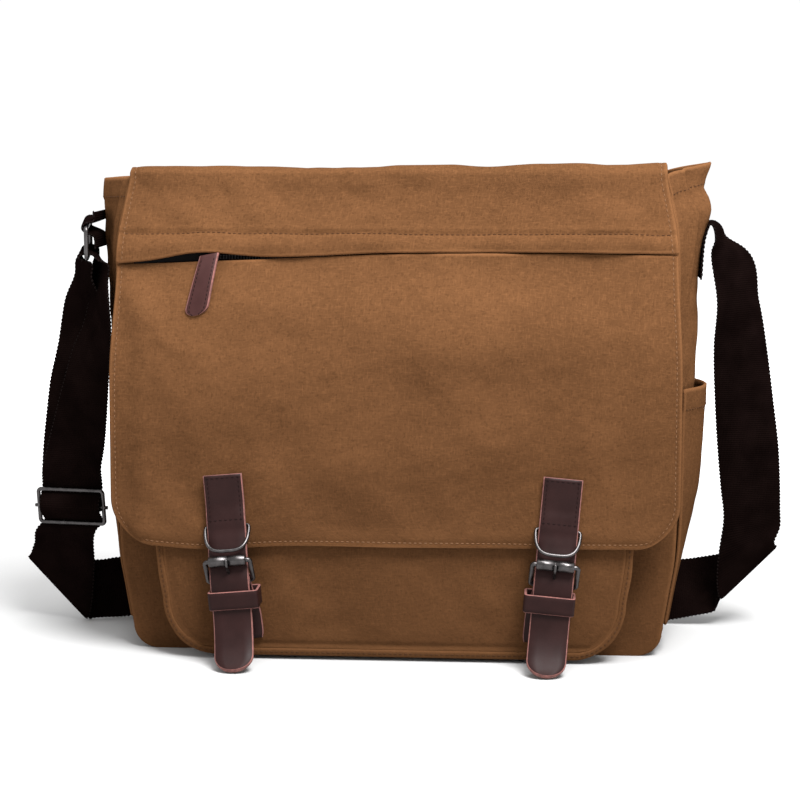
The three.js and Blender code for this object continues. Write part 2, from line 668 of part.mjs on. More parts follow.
function buckleProng() {
  const curl = closure.wire + seamGap + closure.prong;
  const eye = [25, -15, -55, -95, -135, -175, -215, -255, -283].map(degrees => (degrees * Math.PI) / 180);
  const around = eye.map(angle => [
    closure.hingeForward + curl * Math.cos(angle), closure.hingeHeight + curl * Math.sin(angle),
  ]);
  const rest = closure.rollerRadius + seamGap + closure.prong;
  const over = [230, 205, 180, 160].map(degrees => (degrees * Math.PI) / 180).map(angle => [
    rollerDepth - rest * Math.cos(angle), closure.rollerHeight + rest * Math.sin(angle),
  ]);
  const shaft = [[closure.hingeForward + 2.6, closure.hingeHeight + 3.1]];
  return planeWire([...around, ...shaft, ...over], closure.prong);
}

function pocketFrontDepth(x, z) {
  const rise = Math.sin(Math.PI * clamp((z - pocket.bottom) / (pocket.top - pocket.bottom))) ** 2;
  return pocketPlane(z) + pocket.crown * crownAt(x, pocket.halfWidth - pocketFaceInset) * rise;
}

// The anchor rises from the pocket, folds over the hinge bar and comes down in front of it
const anchorDepth = z => {
  const start = pocketFrontDepth(closure.place - closure.width, z) + seamGap + thinLeather / 2;
  return lerp(start, closure.hingeForward - hingeLoop, smooth((z - 17) / (closure.hingeHeight - 20)));
};

function anchorStrap() {
  const shift = z => closure.anchorShift * smooth((z - 4) / 12) * smooth((closure.hingeHeight - z) / 22);
  const rise = range(8).map(i => lerp(closure.anchorFoot, closure.hingeHeight - 2, i / 7))
    .map(z => [anchorDepth(z), z, 1, shift(z)]);
  const fold = [180, 150, 120, 90, 60, 30, 0].map(degrees => (degrees * Math.PI) / 180).map(angle => [
    closure.hingeForward + hingeLoop * Math.cos(angle), closure.hingeHeight + hingeLoop * Math.sin(angle), 1,
  ]);
  const front = [[closure.hingeForward + hingeLoop, closure.hingeHeight - 2.5, 1]];
  const whole = ribbon(flat([...rise, ...fold, ...front], closure.width), thinLeather);
  const slot = new THREE.BoxGeometry(closure.slotWidth, 14, 12);
  slot.translate(0, -closure.hingeForward, closure.hingeHeight + 1.6);
  return cut(whole, slot);
}

function keeper() {
  const low = closure.keeperTop - closure.keeperHeight;
  const back = anchorDepth(low) - thinLeather / 2 - seamGap;
  const front = strapRun + 0.4 + leather / 2 + seamGap;
  const half = closure.width / 2 + seamGap;
  const frame = (inset, radius) => {
    const wide = half + closure.anchorShift * 0.5 + inset;
    const deep = (front - back) / 2 + inset;
    const centre = closure.anchorShift * 0.45;
    return roundedOutline(wide, deep, radius, 3).map(([x, y]) =>
      new THREE.Vector2(x + centre, y - (front + back) / 2));
  };
  const shape = new THREE.Shape(frame(closure.keeperWall, 2.4));
  shape.holes.push(new THREE.Path(frame(0, 0.9)));
  const geometry = new THREE.ExtrudeGeometry(shape, { depth: closure.keeperHeight, bevelEnabled: false });
  geometry.translate(0, 0, low);
  return geometryOf(solidOf(geometry));
}

// The shoulder strap. `out` is a share of its reach beyond the bag's half width, `back` of its set
// back, `up` of its hang, and `across` the way its width faces, as x, y and z
const strapPlace = side => ({ out, back, up }) => point(
  side * (bag.halfWidth + strap.reach * out), strap.setBack * back, strap.hang * up);

const strapRow = side => row => ({
  centre: strapPlace(side)(row),
  across: point(...row.across).setLength(strap.width * (row.span ?? 1)),
});

const rightHang = [
  { out: 0.61, back: 0.09, up: 0.944, across: [0.56, 0.83, 0] },
  { out: 0.75, back: 0.14, up: 0.816, across: [0.7, 0.71, 0] },
  { out: 0.79, back: 0.23, up: 0.716, across: [0.85, 0.53, 0] },
  { out: 0.86, back: 0.34, up: 0.58, across: [0.93, 0.36, 0] },
  { out: 0.93, back: 0.42, up: 0.456, across: [0.97, 0.24, 0] },
  { out: 0.98, back: 0.56, up: 0.36, across: [0.97, 0.3, 0] },
  { out: 1.02, back: 0.7, up: 0.28, across: [0.93, 0.37, 0] },
  { out: 0.994, back: 0.85, up: 0.139, across: [0.714, 0.107, 0.692], span: 1.23 },
  { out: 1.016, back: 0.9, up: 0.135, across: [0.714, 0.107, 0.692], span: 1.23 },
  { out: 0.994, back: 0.943, up: 0.139, across: [0.714, 0.107, 0.692], span: 1.23 },
  { out: 0.72, back: 1.07, up: 0.106, across: [0.3, 0.45, 0.84], span: 1.05 },
  { out: 0.4, back: 1.114, up: 0.09, across: [0, 0.57, 0.82] },
  { out: -0.26, back: 1.023, up: 0.0792, across: [0, 0.15, 0.99] },
  { out: -1.26, back: 1, up: 0.078, across: [0, 0, 1] },
  { out: -3.26, back: 1, up: 0.078, across: [0, 0, 1] },
];
const leftRise = [
  { out: -1.26, back: 1, up: 0.078, across: [0, 0, 1] },
  { out: -0.26, back: 0.982, up: 0.078, across: [0, 0, 1] },
  { out: 0.04, back: 0.92, up: 0.078, across: [0, 0, 1] },
  { out: 0.34, back: 0.773, up: 0.078, across: [0, 0, 1] },
  { out: 0.68, back: 0.625, up: 0.078, across: [0, 0, 1] },
  { out: 1.06, back: 0.614, up: 0.086, across: [-0.679, 0, 0.736], span: 1.4 },
  { out: 1.082, back: 0.58, up: 0.082, across: [-0.679, 0, 0.736], span: 1.4 },
  { out: 1.06, back: 0.545, up: 0.086, across: [-0.679, 0, 0.736], span: 1.4 },
  { out: 0.95, back: 0.4, up: 0.17, across: [-0.92, 0.1, 0.37], span: 1.08 },
  { out: 0.87, back: 0.25, up: 0.248, across: [-0.985, 0.17, 0] },
];
const leftFront = [
  { out: 0.77, back: 0.05, up: 0.392, across: [-0.98, 0.2, 0] },
  { out: 0.692, back: -0.027, up: 0.456, across: [-0.96, 0.27, 0] },
  { out: 0.59, back: -0.18, up: 0.536, across: [-0.91, 0.42, 0] },
  { out: 0.49, back: -0.31, up: 0.624, across: [-0.82, 0.57, 0] },
  { out: 0.38, back: -0.44, up: 0.712, across: [-0.71, 0.71, 0] },
  { out: 0.3, back: -0.54, up: 0.76, across: [-0.6, 0.8, 0] },
  { out: 0.26, back: -0.6, up: 0.816, across: [-0.5, 0.866, 0] },
  { out: 0.27, back: -0.5, up: 0.872, across: [-0.45, 0.89, 0] },
  { out: 0.26, back: -0.43, up: 0.912, across: [-0.42, 0.9, 0] },
];
const leftBack = [
  { out: 0.5, back: -0.26, up: 0.915, across: [-0.42, 0.9, 0] },
  { out: 0.51, back: -0.24, up: 0.88, across: [-0.45, 0.89, 0] },
  { out: 0.53, back: -0.136, up: 0.816, across: [-0.74, 0.67, 0] },
  { out: 0.54, back: -0.09, up: 0.76, across: [-0.85, 0.53, 0] },
  { out: 0.55, back: -0.09, up: 0.72, across: [-0.89, 0.45, 0] },
  { out: 0.65, back: -0.034, up: 0.62, across: [-0.94, 0.34, 0] },
  { out: 0.71, back: 0.04, up: 0.536, across: [-0.96, 0.27, 0] },
  { out: 0.76, back: 0.1, up: 0.456, across: [-0.975, 0.22, 0] },
  { out: 0.784, back: 0.15, up: 0.392, across: [-0.985, 0.17, 0] },
];

// A right-handed frame: u across, v up, w out of the plane
function frameAt(centre, across, up) {
  const u = across.clone().normalize();
  const v = up.clone().addScaledVector(u, -up.dot(u)).normalize();
  const w = cross(v, u);
  const place = (a, b, c) => centre.clone().addScaledVector(u, a).addScaledVector(v, b).addScaledVector(w, c);
  return { u, v, w, place };
}

const ringFrame = () => frameAt(
  strapPlace(-1)({ out: 0.43, back: -0.3, up: 0.967 }), point(-0.16, 0.98, 0.08), point(0, 0, 1));
const sliderFrame = () => frameAt(
  strapPlace(-1)({ out: 0.8, back: 0.17, up: 0.304 }), point(-0.99, 0.14, 0), point(-0.02, -0.14, 0.99));

// Rows of [v, w] in a frame, as strap stations
const threaded = ({ place, u }, rows) => rows.map(([v, w]) => (
  { centre: place(0, v, w), across: u.clone().multiplyScalar(strap.width) }));

function shoulderStrap() {
  const ringAt = ringFrame();
  const sliderAt = sliderFrame();
  const half = strap.thickness / 2;
  const wrap = ring.wire + seamGap + half;
  const barWrap = slider.bar + seamGap + half;
  const over = barWrap + half + seamGap + half;
  const behind = slider.wire + seamGap + half + 0.3;
  const between = sideHeights.filter(z => z > strap.sewnLow && z < strap.sewnHigh);
  const sewn = [strap.sewnLow, ...between, strap.sewnHigh].map(z => {
    const centre = gussetFace(1, z, 0);
    centre.x += seamGap + half + 0.2;
    return { centre, across: point(0, strap.width, 0) };
  });
  const top = gussetFace(1, strap.sewnHigh, 0);
  const arch = [
    [2.6, 0, 3.4], [4.4, 0.2, 5.2], [7, 0.6, 5], [9.6, 1.2, 2], [11.4, 2.3, -4],
  ].map(([x, y, z], i) => (
    { centre: top.clone().add(point(x, y, z)), across: point(0.06 * i, 1, 0).setLength(strap.width) }));
  const throughSlider = threaded(sliderAt, [
    [-10.4, -behind], [-5, 1.3], [-1, over], [1.2, over], [4.5, 2.5], [10.2, -behind],
  ]);
  const ringLoop = [180, 150, 120, 90, 60, 30, 0].map(degrees => (degrees * Math.PI) / 180).map(angle => [
    -ring.halfHeight + wrap * Math.sin(angle), (wrap + ring.loopSlack) * Math.cos(angle),
  ]);
  const under = behind + half + seamGap + half + 0.1;
  const backToSlider = threaded(sliderAt, [
    [14, -under - 0.3], [10, -under], [5, -3.4], [1.5, -barWrap - 0.1], [-1.1, -barWrap * 0.86],
    [-barWrap * 0.86, -1.1], [-barWrap * 0.86, 1.1], [-1.1, barWrap * 0.86], [0.8, barWrap],
  ]);
  return ribbon([
    ...sewn, ...arch, ...rightHang.map(strapRow(1)), ...leftRise.map(strapRow(-1)), ...throughSlider,
    ...leftFront.map(strapRow(-1)), ...threaded(ringAt, ringLoop), ...leftBack.map(strapRow(-1)),
    ...backToSlider,
  ], strap.thickness);
}

function strapRing() {
  const outline = roundedOutline(ring.halfWidth, ring.halfHeight, ring.cornerRadius, 3);
  return wireLoop(outline, ring.wire, ringFrame().place, 8);
}

function strapSlider() {
  const { place } = sliderFrame();
  const outline = roundedOutline(slider.halfWidth, slider.halfHeight, slider.cornerRadius, 3);
  const frame = wireLoop(outline, slider.wire, place, 8);
  const bar = loft([-1, 1].map(end => range(8).map(k => {
    const angle = (2 * Math.PI * (k + 0.5)) / 8;
    return place(end * slider.barReach, slider.bar * Math.cos(angle), slider.bar * Math.sin(angle));
  })));
  return join(frame, bar);
}

// The tab is sewn to the ridge of the left fold and bridges the ring's upper bar
function strapTab() {
  const half = strap.thickness / 2;
  const lift = seamGap + half + 0.2;
  const sewn = heights => heights.map(z => {
    const centre = gussetFace(-1, z, 0).add(point(-lift, -strap.tabForward, 0));
    return { centre, across: point(0, strap.tabWidth, 0) };
  });
  const ringAt = ringFrame();
  const wrap = ring.wire + seamGap + half;
  const bridge = [65, 35, 0, -35, -60].map(degrees => (degrees * Math.PI) / 180).map(angle => ({
    centre: ringAt.place(0, ring.halfHeight + wrap * Math.sin(angle), wrap * Math.cos(angle)),
    across: ringAt.u.clone().multiplyScalar(strap.tabWidth),
  }));
  return ribbon([...sewn([259.5, 257.5, 255]), ...bridge, ...sewn([243, 240, 237.5])], strap.thickness);
}

function mirror(geometry) {
  geometry.scale(-1, 1, 1);
  const index = geometry.index;
  for (let i = 0; i < index.count; i += 3) {
    const second = index.getX(i + 1);
    index.setX(i + 1, index.getX(i + 2));
    index.setX(i + 2, second);
  }
}

const material = (color, roughness, metalness = 0) => () =>
  new THREE.MeshStandardMaterial({ color, roughness, metalness });
const cloth = material(colours.canvas, 0.9);
const hide = material(colours.leather, 0.6);
const web = material(colours.webbing, 0.85);
const metal = material(colours.metal, 0.35, 1);
const teeth = material(colours.zip, 0.5);

function piece(name, geometry, finish) {
  geometry.computeVertexNormals();
  const mesh = new THREE.Mesh(geometry, finish());
  mesh.name = name;
  return mesh;
}

const musette = new THREE.Group();
musette.name = 'musette_bag';
musette.add(
  piece('back_panel', panel(1, bag.backCrown), cloth),
  piece('front_panel', panel(-1, 0), cloth),
  piece('gusset', gusset(), cloth),
  piece('pocket_face', pocketFace(), cloth),
  piece('pocket_gusset', pocketGusset(), cloth),
  piece('pocket_rim', pocketRim(), cloth),
  piece('side_pocket_left', sidePocketPatch(-1, sidePocket.gapeLeft), cloth),
  piece('side_pocket_right', sidePocketPatch(1, sidePocket.gapeRight), cloth),
  piece('flap_upper', flapUpper(), cloth),
  piece('flap_lower', flapLower(), cloth),
  piece('zip_tape', zipTape(), teeth),
  piece('zip_slider', zipSlider(), metal),
  piece('zip_puller', zipPuller(), hide),
  piece('shoulder_strap', shoulderStrap(), web),
  piece('strap_tab', strapTab(), web),
  piece('strap_ring', strapRing(), metal),
  piece('strap_slider', strapSlider(), metal),
);

[['left', -1], ['right', 1]].forEach(([name, side]) => {
  const parts = [
    piece(`${name}_closure_strap`, closureStrap(), hide),
    piece(`${name}_d_ring`, dRingWire(), metal),
    piece(`${name}_buckle_frame`, buckleFrame(), metal),
    piece(`${name}_buckle_roller`, buckleRoller(), metal),
    piece(`${name}_buckle_prong`, buckleProng(), metal),
    piece(`${name}_anchor_strap`, anchorStrap(), hide),
    piece(`${name}_keeper`, keeper(), hide),
  ];
  parts.forEach(mesh => {
    const geometry = mesh.geometry;
    if (side > 0) mirror(geometry);
    geometry.translate(0, 0, -closure.top);
    geometry.rotateY(side * closure.lean);
    geometry.translate(side * closure.place, 0, closure.top);
    geometry.computeVertexNormals();
    musette.add(mesh);
  });
});

export default musette;
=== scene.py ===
import math

import bmesh
import bpy
import numpy as np
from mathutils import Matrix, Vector


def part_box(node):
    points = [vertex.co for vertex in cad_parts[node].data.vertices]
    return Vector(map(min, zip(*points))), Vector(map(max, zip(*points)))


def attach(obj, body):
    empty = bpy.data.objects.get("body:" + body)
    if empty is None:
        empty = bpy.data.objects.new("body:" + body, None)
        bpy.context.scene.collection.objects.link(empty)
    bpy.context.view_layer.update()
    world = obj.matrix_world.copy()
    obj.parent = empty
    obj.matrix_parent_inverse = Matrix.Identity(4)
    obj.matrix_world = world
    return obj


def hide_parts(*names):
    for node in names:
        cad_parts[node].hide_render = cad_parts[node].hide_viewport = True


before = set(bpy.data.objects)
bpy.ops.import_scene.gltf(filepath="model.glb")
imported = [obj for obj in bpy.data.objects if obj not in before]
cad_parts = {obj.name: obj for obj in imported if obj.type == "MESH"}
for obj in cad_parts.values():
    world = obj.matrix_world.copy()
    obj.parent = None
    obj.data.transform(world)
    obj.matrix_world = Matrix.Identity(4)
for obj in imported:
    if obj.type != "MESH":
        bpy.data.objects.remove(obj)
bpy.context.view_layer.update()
mm = 0.001

# Colours, as linear red, green and blue
canvasColour = (0.088, 0.0392, 0.0163)
leatherColour = (0.0150, 0.0056, 0.0052)
rawEdgeColour = (0.17, 0.062, 0.052)
webColour = (0.0034, 0.0018, 0.0016)
metalColour = (0.072, 0.067, 0.067)
threadColour = (0.050, 0.021, 0.0085)
paleThreadColour = (0.135, 0.068, 0.034)
tapeColour = (0.003, 0.0025, 0.0025)


def clamp(value):
    return np.minimum(np.maximum(value, 0.0), 1.0)


def lerp(a, b, t):
    return a + (b - a) * t


def smooth(t):
    t = clamp(t)
    return t * t * (3 - 2 * t)


def bell(x, centre, width):
    return np.exp(-(((x - centre) / width) ** 2))


def crownAt(x, half):
    return np.cos(math.pi / 2 * clamp(np.abs(x) / half)) ** 2


# Points from their coordinates, each a number or an array
def xyz(x, y, z):
    return np.stack(np.broadcast_arrays(x, y, z), axis=-1)


# A smooth curve through the values, level where they turn
def follow(ups, values):
    ups = np.array(ups, float)
    values = np.array(values, float)
    last = len(ups) - 1
    before = np.maximum(np.arange(last + 1) - 1, 0)
    after = np.minimum(np.arange(last + 1) + 1, last)
    slope = (values[after] - values[before]) / (ups[after] - ups[before])
    turns = (values[2:] - values[1:-1]) * (values[1:-1] - values[:-2]) <= 0
    slope[1:-1][turns] = 0

    def at(up):
        up = np.asarray(up, float)
        i = np.clip(np.searchsorted(ups, up, side="right") - 1, 0, last - 1)
        step = ups[i + 1] - ups[i]
        t = clamp((up - ups[i]) / step)
        rise = values[i + 1] - values[i]
        startBend = slope[i] * step - rise
        endBend = rise - slope[i + 1] * step
        return values[i] + rise * t + t * (1 - t) * (startBend * (1 - t) + endBend * t)

    return at


# A smooth random field over u and v, about one unit high, whose lumps are about `size` wide
def rumple(u, v, size, seed, stretch=1.0, waves=20):
    random = np.random.default_rng(seed)
    angle = random.uniform(0, 2 * math.pi, waves)
    pace = 2 * math.pi / (size * random.uniform(0.7, 1.7, waves))
    phase = random.uniform(0, 2 * math.pi, waves)
    total = np.zeros(np.broadcast(u, v).shape)
    for a, k, p in zip(angle, pace, phase):
        total = total + np.cos(k * (np.cos(a) * u + np.sin(a) * v / stretch) + p)
    return total / math.sqrt(waves / 2)


# A ridge along a line from start to end, 1 high on the line
def crease(x, z, start, end, width):
    start = np.array(start, float)
    span = np.array(end, float) - start
    length = np.hypot(*span)
    along = ((x - start[0]) * span[0] + (z - start[1]) * span[1]) / length
    off = ((x - start[0]) * span[1] - (z - start[1]) * span[0]) / length
    beyond = np.maximum(np.maximum(-along, along - length), 0)
    return np.exp(-((off / width) ** 2) - (beyond / (2 * width)) ** 2)


# Builds a closed mesh in millimetres, its faces turned outward
def makeMesh(name, vertices, faces, uv, edge, materials, slots=None):
    mesh = bpy.data.meshes.new(name)
    mesh.from_pydata((np.asarray(vertices) * mm).tolist(), [], [list(map(int, f)) for f in faces])
    work = bmesh.new()
    work.from_mesh(mesh)
    bmesh.ops.recalc_face_normals(work, faces=work.faces)
    work.to_mesh(mesh)
    work.free()
    mesh.shade_smooth()
    layer = mesh.uv_layers.new(name="UVMap")
    index = np.zeros(len(mesh.loops), np.int32)
    mesh.loops.foreach_get("vertex_index", index)
    layer.data.foreach_set("uv", (np.asarray(uv, float)[index] * mm).ravel())
    attribute = mesh.attributes.new("edge", "FLOAT", "POINT")
    attribute.data.foreach_set("value", np.asarray(edge, float).ravel())
    for material in materials:
        mesh.materials.append(material)
    if slots is not None:
        mesh.polygons.foreach_set("material_index", np.asarray(slots, np.int32))
    thing = bpy.data.objects.new(name, mesh)
    bpy.context.scene.collection.objects.link(thing)
    return thing


def unit(vectors):
    length = np.linalg.norm(vectors, axis=-1, keepdims=True)
    return vectors / np.maximum(length, 1e-9)


def lengths(points, axis):
    steps = np.linalg.norm(np.diff(points, axis=axis), axis=-1)
    pad = [(0, 0), (0, 0)]
    pad[axis] = (1, 0)
    return np.cumsum(np.pad(steps, pad), axis=axis)


def runAlong(points):
    return np.concatenate([[0], np.cumsum(np.linalg.norm(np.diff(points, axis=0), axis=-1))])


def surfaceNormals(outer, middle):
    normal = unit(np.cross(np.gradient(outer, axis=1), np.gradient(outer, axis=0)))
    away = np.sum(normal * (outer - np.array(middle, float)))
    return normal * (1 if away > 0 else -1)


# A cloth wall from its outer face, with a rounded rim; `middle` is a point behind the cloth
def clothWall(name, outer, thickness, middle, materials):
    rows, columns = outer.shape[:2]
    under = outer - surfaceNormals(outer, middle) * thickness
    along = unit(np.gradient(outer, axis=0))
    across = unit(np.gradient(outer, axis=1))
    ring = [(0, j) for j in range(columns - 1)] + [(i, columns - 1) for i in range(rows - 1)]
    ring += [(rows - 1, columns - 1 - j) for j in range(columns - 1)]
    ring += [(rows - 1 - i, 0) for i in range(rows - 1)]
    rims = []
    for i, j in ring:
        down = (i == rows - 1) * along[i, j] - (i == 0) * along[i, j]
        aside = (j == columns - 1) * across[i, j] - (j == 0) * across[i, j]
        out = unit(down + aside)
        rims.append((outer[i, j] + under[i, j]) / 2 + out * thickness * 0.3)
    count = rows * columns
    i, j = np.meshgrid(np.arange(rows - 1), np.arange(columns - 1), indexing="ij")
    a = (i * columns + j).ravel()
    quads = np.stack([a, a + columns, a + columns + 1, a + 1], axis=1)
    flat = np.array([p * columns + q for p, q in ring])
    following = np.roll(flat, -1)
    rim = 2 * count + np.arange(len(ring))
    rimNext = np.roll(rim, -1)
    upper = np.stack([flat, following, rimNext, rim], axis=1)
    lower = np.stack([rim, rimNext, following + count, flat + count], axis=1)
    faces = np.concatenate([quads, quads[:, ::-1] + count, upper, lower])
    u = lengths(outer, 1)
    v = lengths(outer, 0)
    uv = np.stack([u, v], axis=-1).reshape(-1, 2)
    edge = np.minimum(np.minimum(u, u[:, -1:] - u), np.minimum(v, v[-1:] - v)).ravel()
    vertices = np.concatenate([outer.reshape(-1, 3), under.reshape(-1, 3), np.array(rims)])
    uvAll = np.concatenate([uv, uv, uv[flat]])
    edgeAll = np.concatenate([edge, edge, np.zeros(len(ring))])
    return makeMesh(name, vertices, faces, uvAll, edgeAll, materials)


# The faces between successive rings of points, and the side that each is on
def tubeFaces(count, sides, closed):
    spans = np.arange(count if closed else count - 1)
    i, j = (part.ravel() for part in np.meshgrid(spans, np.arange(sides), indexing="ij"))
    after = (i + 1) % count
    beside = (j + 1) % sides
    corners = [i * sides + j, after * sides + j, after * sides + beside, i * sides + beside]
    faces = np.stack(corners, axis=1).tolist()
    if not closed:
        faces += [list(range(sides)), list(range((count - 1) * sides, count * sides))]
    return faces, j


# A plain solid through rings of points in millimetres
def ringSolid(name, rings, closed, place, material):
    rings = np.array(rings)
    faces = tubeFaces(*rings.shape[:2], closed)[0]
    vertices = place(rings.reshape(-1, 3))
    zero = np.zeros(len(vertices))
    return makeMesh(name, vertices, faces, np.stack([zero, zero], axis=-1), zero, [material])


# A solid swept along centres: each profile point is a share across and a height off the face.
# The profile's sides named in `raw` take the second material.
def sweep(name, centres, across, profile, materials, closed=False, faceWay=None, raw=()):
    centres = np.asarray(centres, float)
    across = np.asarray(across, float)
    count = len(centres)
    ahead = np.gradient(centres, axis=0)
    if closed:
        ahead = np.roll(centres, -1, axis=0) - np.roll(centres, 1, axis=0)
    face = unit(np.cross(ahead, across)) if faceWay is None else unit(np.asarray(faceWay, float))
    profile = np.asarray(profile, float)
    sides = profile.shape[-2]
    profile = np.broadcast_to(profile, (count, sides, 2))
    points = centres[:, None] + across[:, None] * profile[..., :1] + face[:, None] * profile[..., 1:]
    faces, j = tubeFaces(count, sides, closed)
    slots = [int(k in raw) for k in j]
    if not closed:
        slots += [int(len(raw) > 0)] * 2
    run = runAlong(centres)
    width = np.linalg.norm(across, axis=-1)
    u = profile[..., 0] * width[:, None]
    uv = np.stack([u, np.broadcast_to(run[:, None], u.shape)], axis=-1).reshape(-1, 2)
    edge = (width[:, None] - np.abs(u)).ravel()
    return makeMesh(name, points.reshape(-1, 3), faces, uv, edge, materials, slots if raw else None)


circle = [(math.cos(math.radians(a)), math.sin(math.radians(a))) for a in range(0, 360, 24)]


# A round wire along a path, whose plane faces `way`
def wire(name, path, radius, way, material, closed=True):
    path = np.asarray(path, float)
    if closed:
        ahead = np.roll(path, -1, axis=0) - np.roll(path, 1, axis=0)
    else:
        ahead = np.gradient(path, axis=0)
    way = np.broadcast_to(unit(np.asarray(way, float)), path.shape)
    across = unit(np.cross(ahead, way)) * radius
    profile = [(c, s * radius) for c, s in circle]
    return sweep(name, path, across, profile, [material], closed, way)


# The points of a smooth curve through chosen ones, by steps to a span or by a spacing in millimetres;
# the first `measured` columns give the length along it
def throughPoints(points, steps=None, spacing=2.0, measured=None):
    points = np.asarray(points, float)
    span = np.linalg.norm(np.diff(points[:, :measured], axis=0), axis=-1)
    pace = np.diff(points, axis=0) / span[:, None]
    slope = np.concatenate([pace[:1], pace])
    total = (span[1:] + span[:-1])[:, None]
    slope[1:-1] = (pace[:-1] * span[1:, None] + pace[1:] * span[:-1, None]) / total
    found = []
    for i, length in enumerate(span):
        count = steps or max(2, math.ceil(length / spacing))
        for t in np.arange(count) / count:
            a = 2 * t**3 - 3 * t**2 + 1
            b = (t**3 - 2 * t**2 + t) * length
            c = -2 * t**3 + 3 * t**2
            d = (t**3 - t**2) * length
            found.append(a * points[i] + b * slope[i] + c * points[i + 1] + d * slope[i + 1])
    found.append(points[-1])
    return np.array(found)


def roundedOutline(halfWidth, halfHeight, radius, steps=8):
    found = []
    for quarter, (sx, sy) in enumerate([(1, 1), (-1, 1), (-1, -1), (1, -1)]):
        for k in range(steps + 1):
            angle = math.pi / 2 * (quarter + k / steps)
            x = sx * (halfWidth - radius) + radius * math.cos(angle)
            found.append((x, sy * (halfHeight - radius) + radius * math.sin(angle)))
    return np.array(found)


# Materials. Each reads object coordinates, its own UV map or the `edge` attribute.
class Shader:
    def __init__(self, name, colour, roughness, metallic=0.0, **sockets):
        self.material = bpy.data.materials.new(name)
        self.material.use_nodes = True
        self.nodes = self.material.node_tree.nodes
        self.links = self.material.node_tree.links
        self.base = self.nodes["Principled BSDF"]
        self.base.inputs["Base Color"].default_value = (*colour, 1)
        self.base.inputs["Roughness"].default_value = roughness
        self.base.inputs["Metallic"].default_value = metallic
        for socket, value in sockets.items():
            self.base.inputs[socket.replace("_", " ")].default_value = value
        self.coordinates = self.nodes.new("ShaderNodeTexCoord")
        self.place = self.coordinates.outputs["Object"]
        self.uv = self.coordinates.outputs["UV"]

    def set(self, socket, value):
        self.links.new(value, self.base.inputs[socket])

    def noise(self, scale, detail, where=None, stretch=None, roughness=0.5):
        where = self.place if where is None else where
        if stretch is not None:
            mapping = self.nodes.new("ShaderNodeMapping")
            mapping.inputs["Scale"].default_value = stretch
            self.links.new(where, mapping.inputs["Vector"])
            where = mapping.outputs["Vector"]
        node = self.nodes.new("ShaderNodeTexNoise")
        node.inputs["Scale"].default_value = scale
        node.inputs["Detail"].default_value = detail
        node.inputs["Roughness"].default_value = roughness
        self.links.new(where, node.inputs["Vector"])
        return node.outputs["Fac"]

    def waves(self, scale, axis):
        node = self.nodes.new("ShaderNodeTexWave")
        node.wave_type = "BANDS"
        node.bands_direction = axis
        node.wave_profile = "SIN"
        node.inputs["Scale"].default_value = scale
        node.inputs["Distortion"].default_value = 0
        self.links.new(self.uv, node.inputs["Vector"])
        return node.outputs["Fac"]

    def math(self, operation, a, b):
        node = self.nodes.new("ShaderNodeMath")
        node.operation = operation
        for socket, value in zip(node.inputs, (a, b)):
            if isinstance(value, (int, float)):
                socket.default_value = value
            else:
                self.links.new(value, socket)
        return node.outputs[0]

    def spread(self, value, low, high, toLow=0.0, toHigh=1.0):
        node = self.nodes.new("ShaderNodeMapRange")
        for socket, number in zip(("From Min", "From Max", "To Min", "To Max"),
                                  (low, high, toLow, toHigh)):
            node.inputs[socket].default_value = number
        self.links.new(value, node.inputs["Value"])
        return node.outputs["Result"]

    def mix(self, share, a, b):
        node = self.nodes.new("ShaderNodeMix")
        node.data_type = "RGBA"
        for socket, value in ((node.inputs[6], a), (node.inputs[7], b)):
            if isinstance(value, tuple):
                socket.default_value = (*value, 1)
            else:
                self.links.new(value, socket)
        self.links.new(share, node.inputs["Factor"])
        return node.outputs[2]

    def attribute(self, name):
        node = self.nodes.new("ShaderNodeAttribute")
        node.attribute_name = name
        return node.outputs["Fac"]

    def bump(self, height, strength, distance):
        node = self.nodes.new("ShaderNodeBump")
        node.inputs["Strength"].default_value = strength
        node.inputs["Distance"].default_value = distance
        self.links.new(height, node.inputs["Height"])
        if self.base.inputs["Normal"].links:
            self.links.new(self.base.inputs["Normal"].links[0].from_socket, node.inputs["Normal"])
        self.links.new(node.outputs["Normal"], self.base.inputs["Normal"])


def tint(colour, share):
    return tuple(min(1.0, c * share) for c in colour)


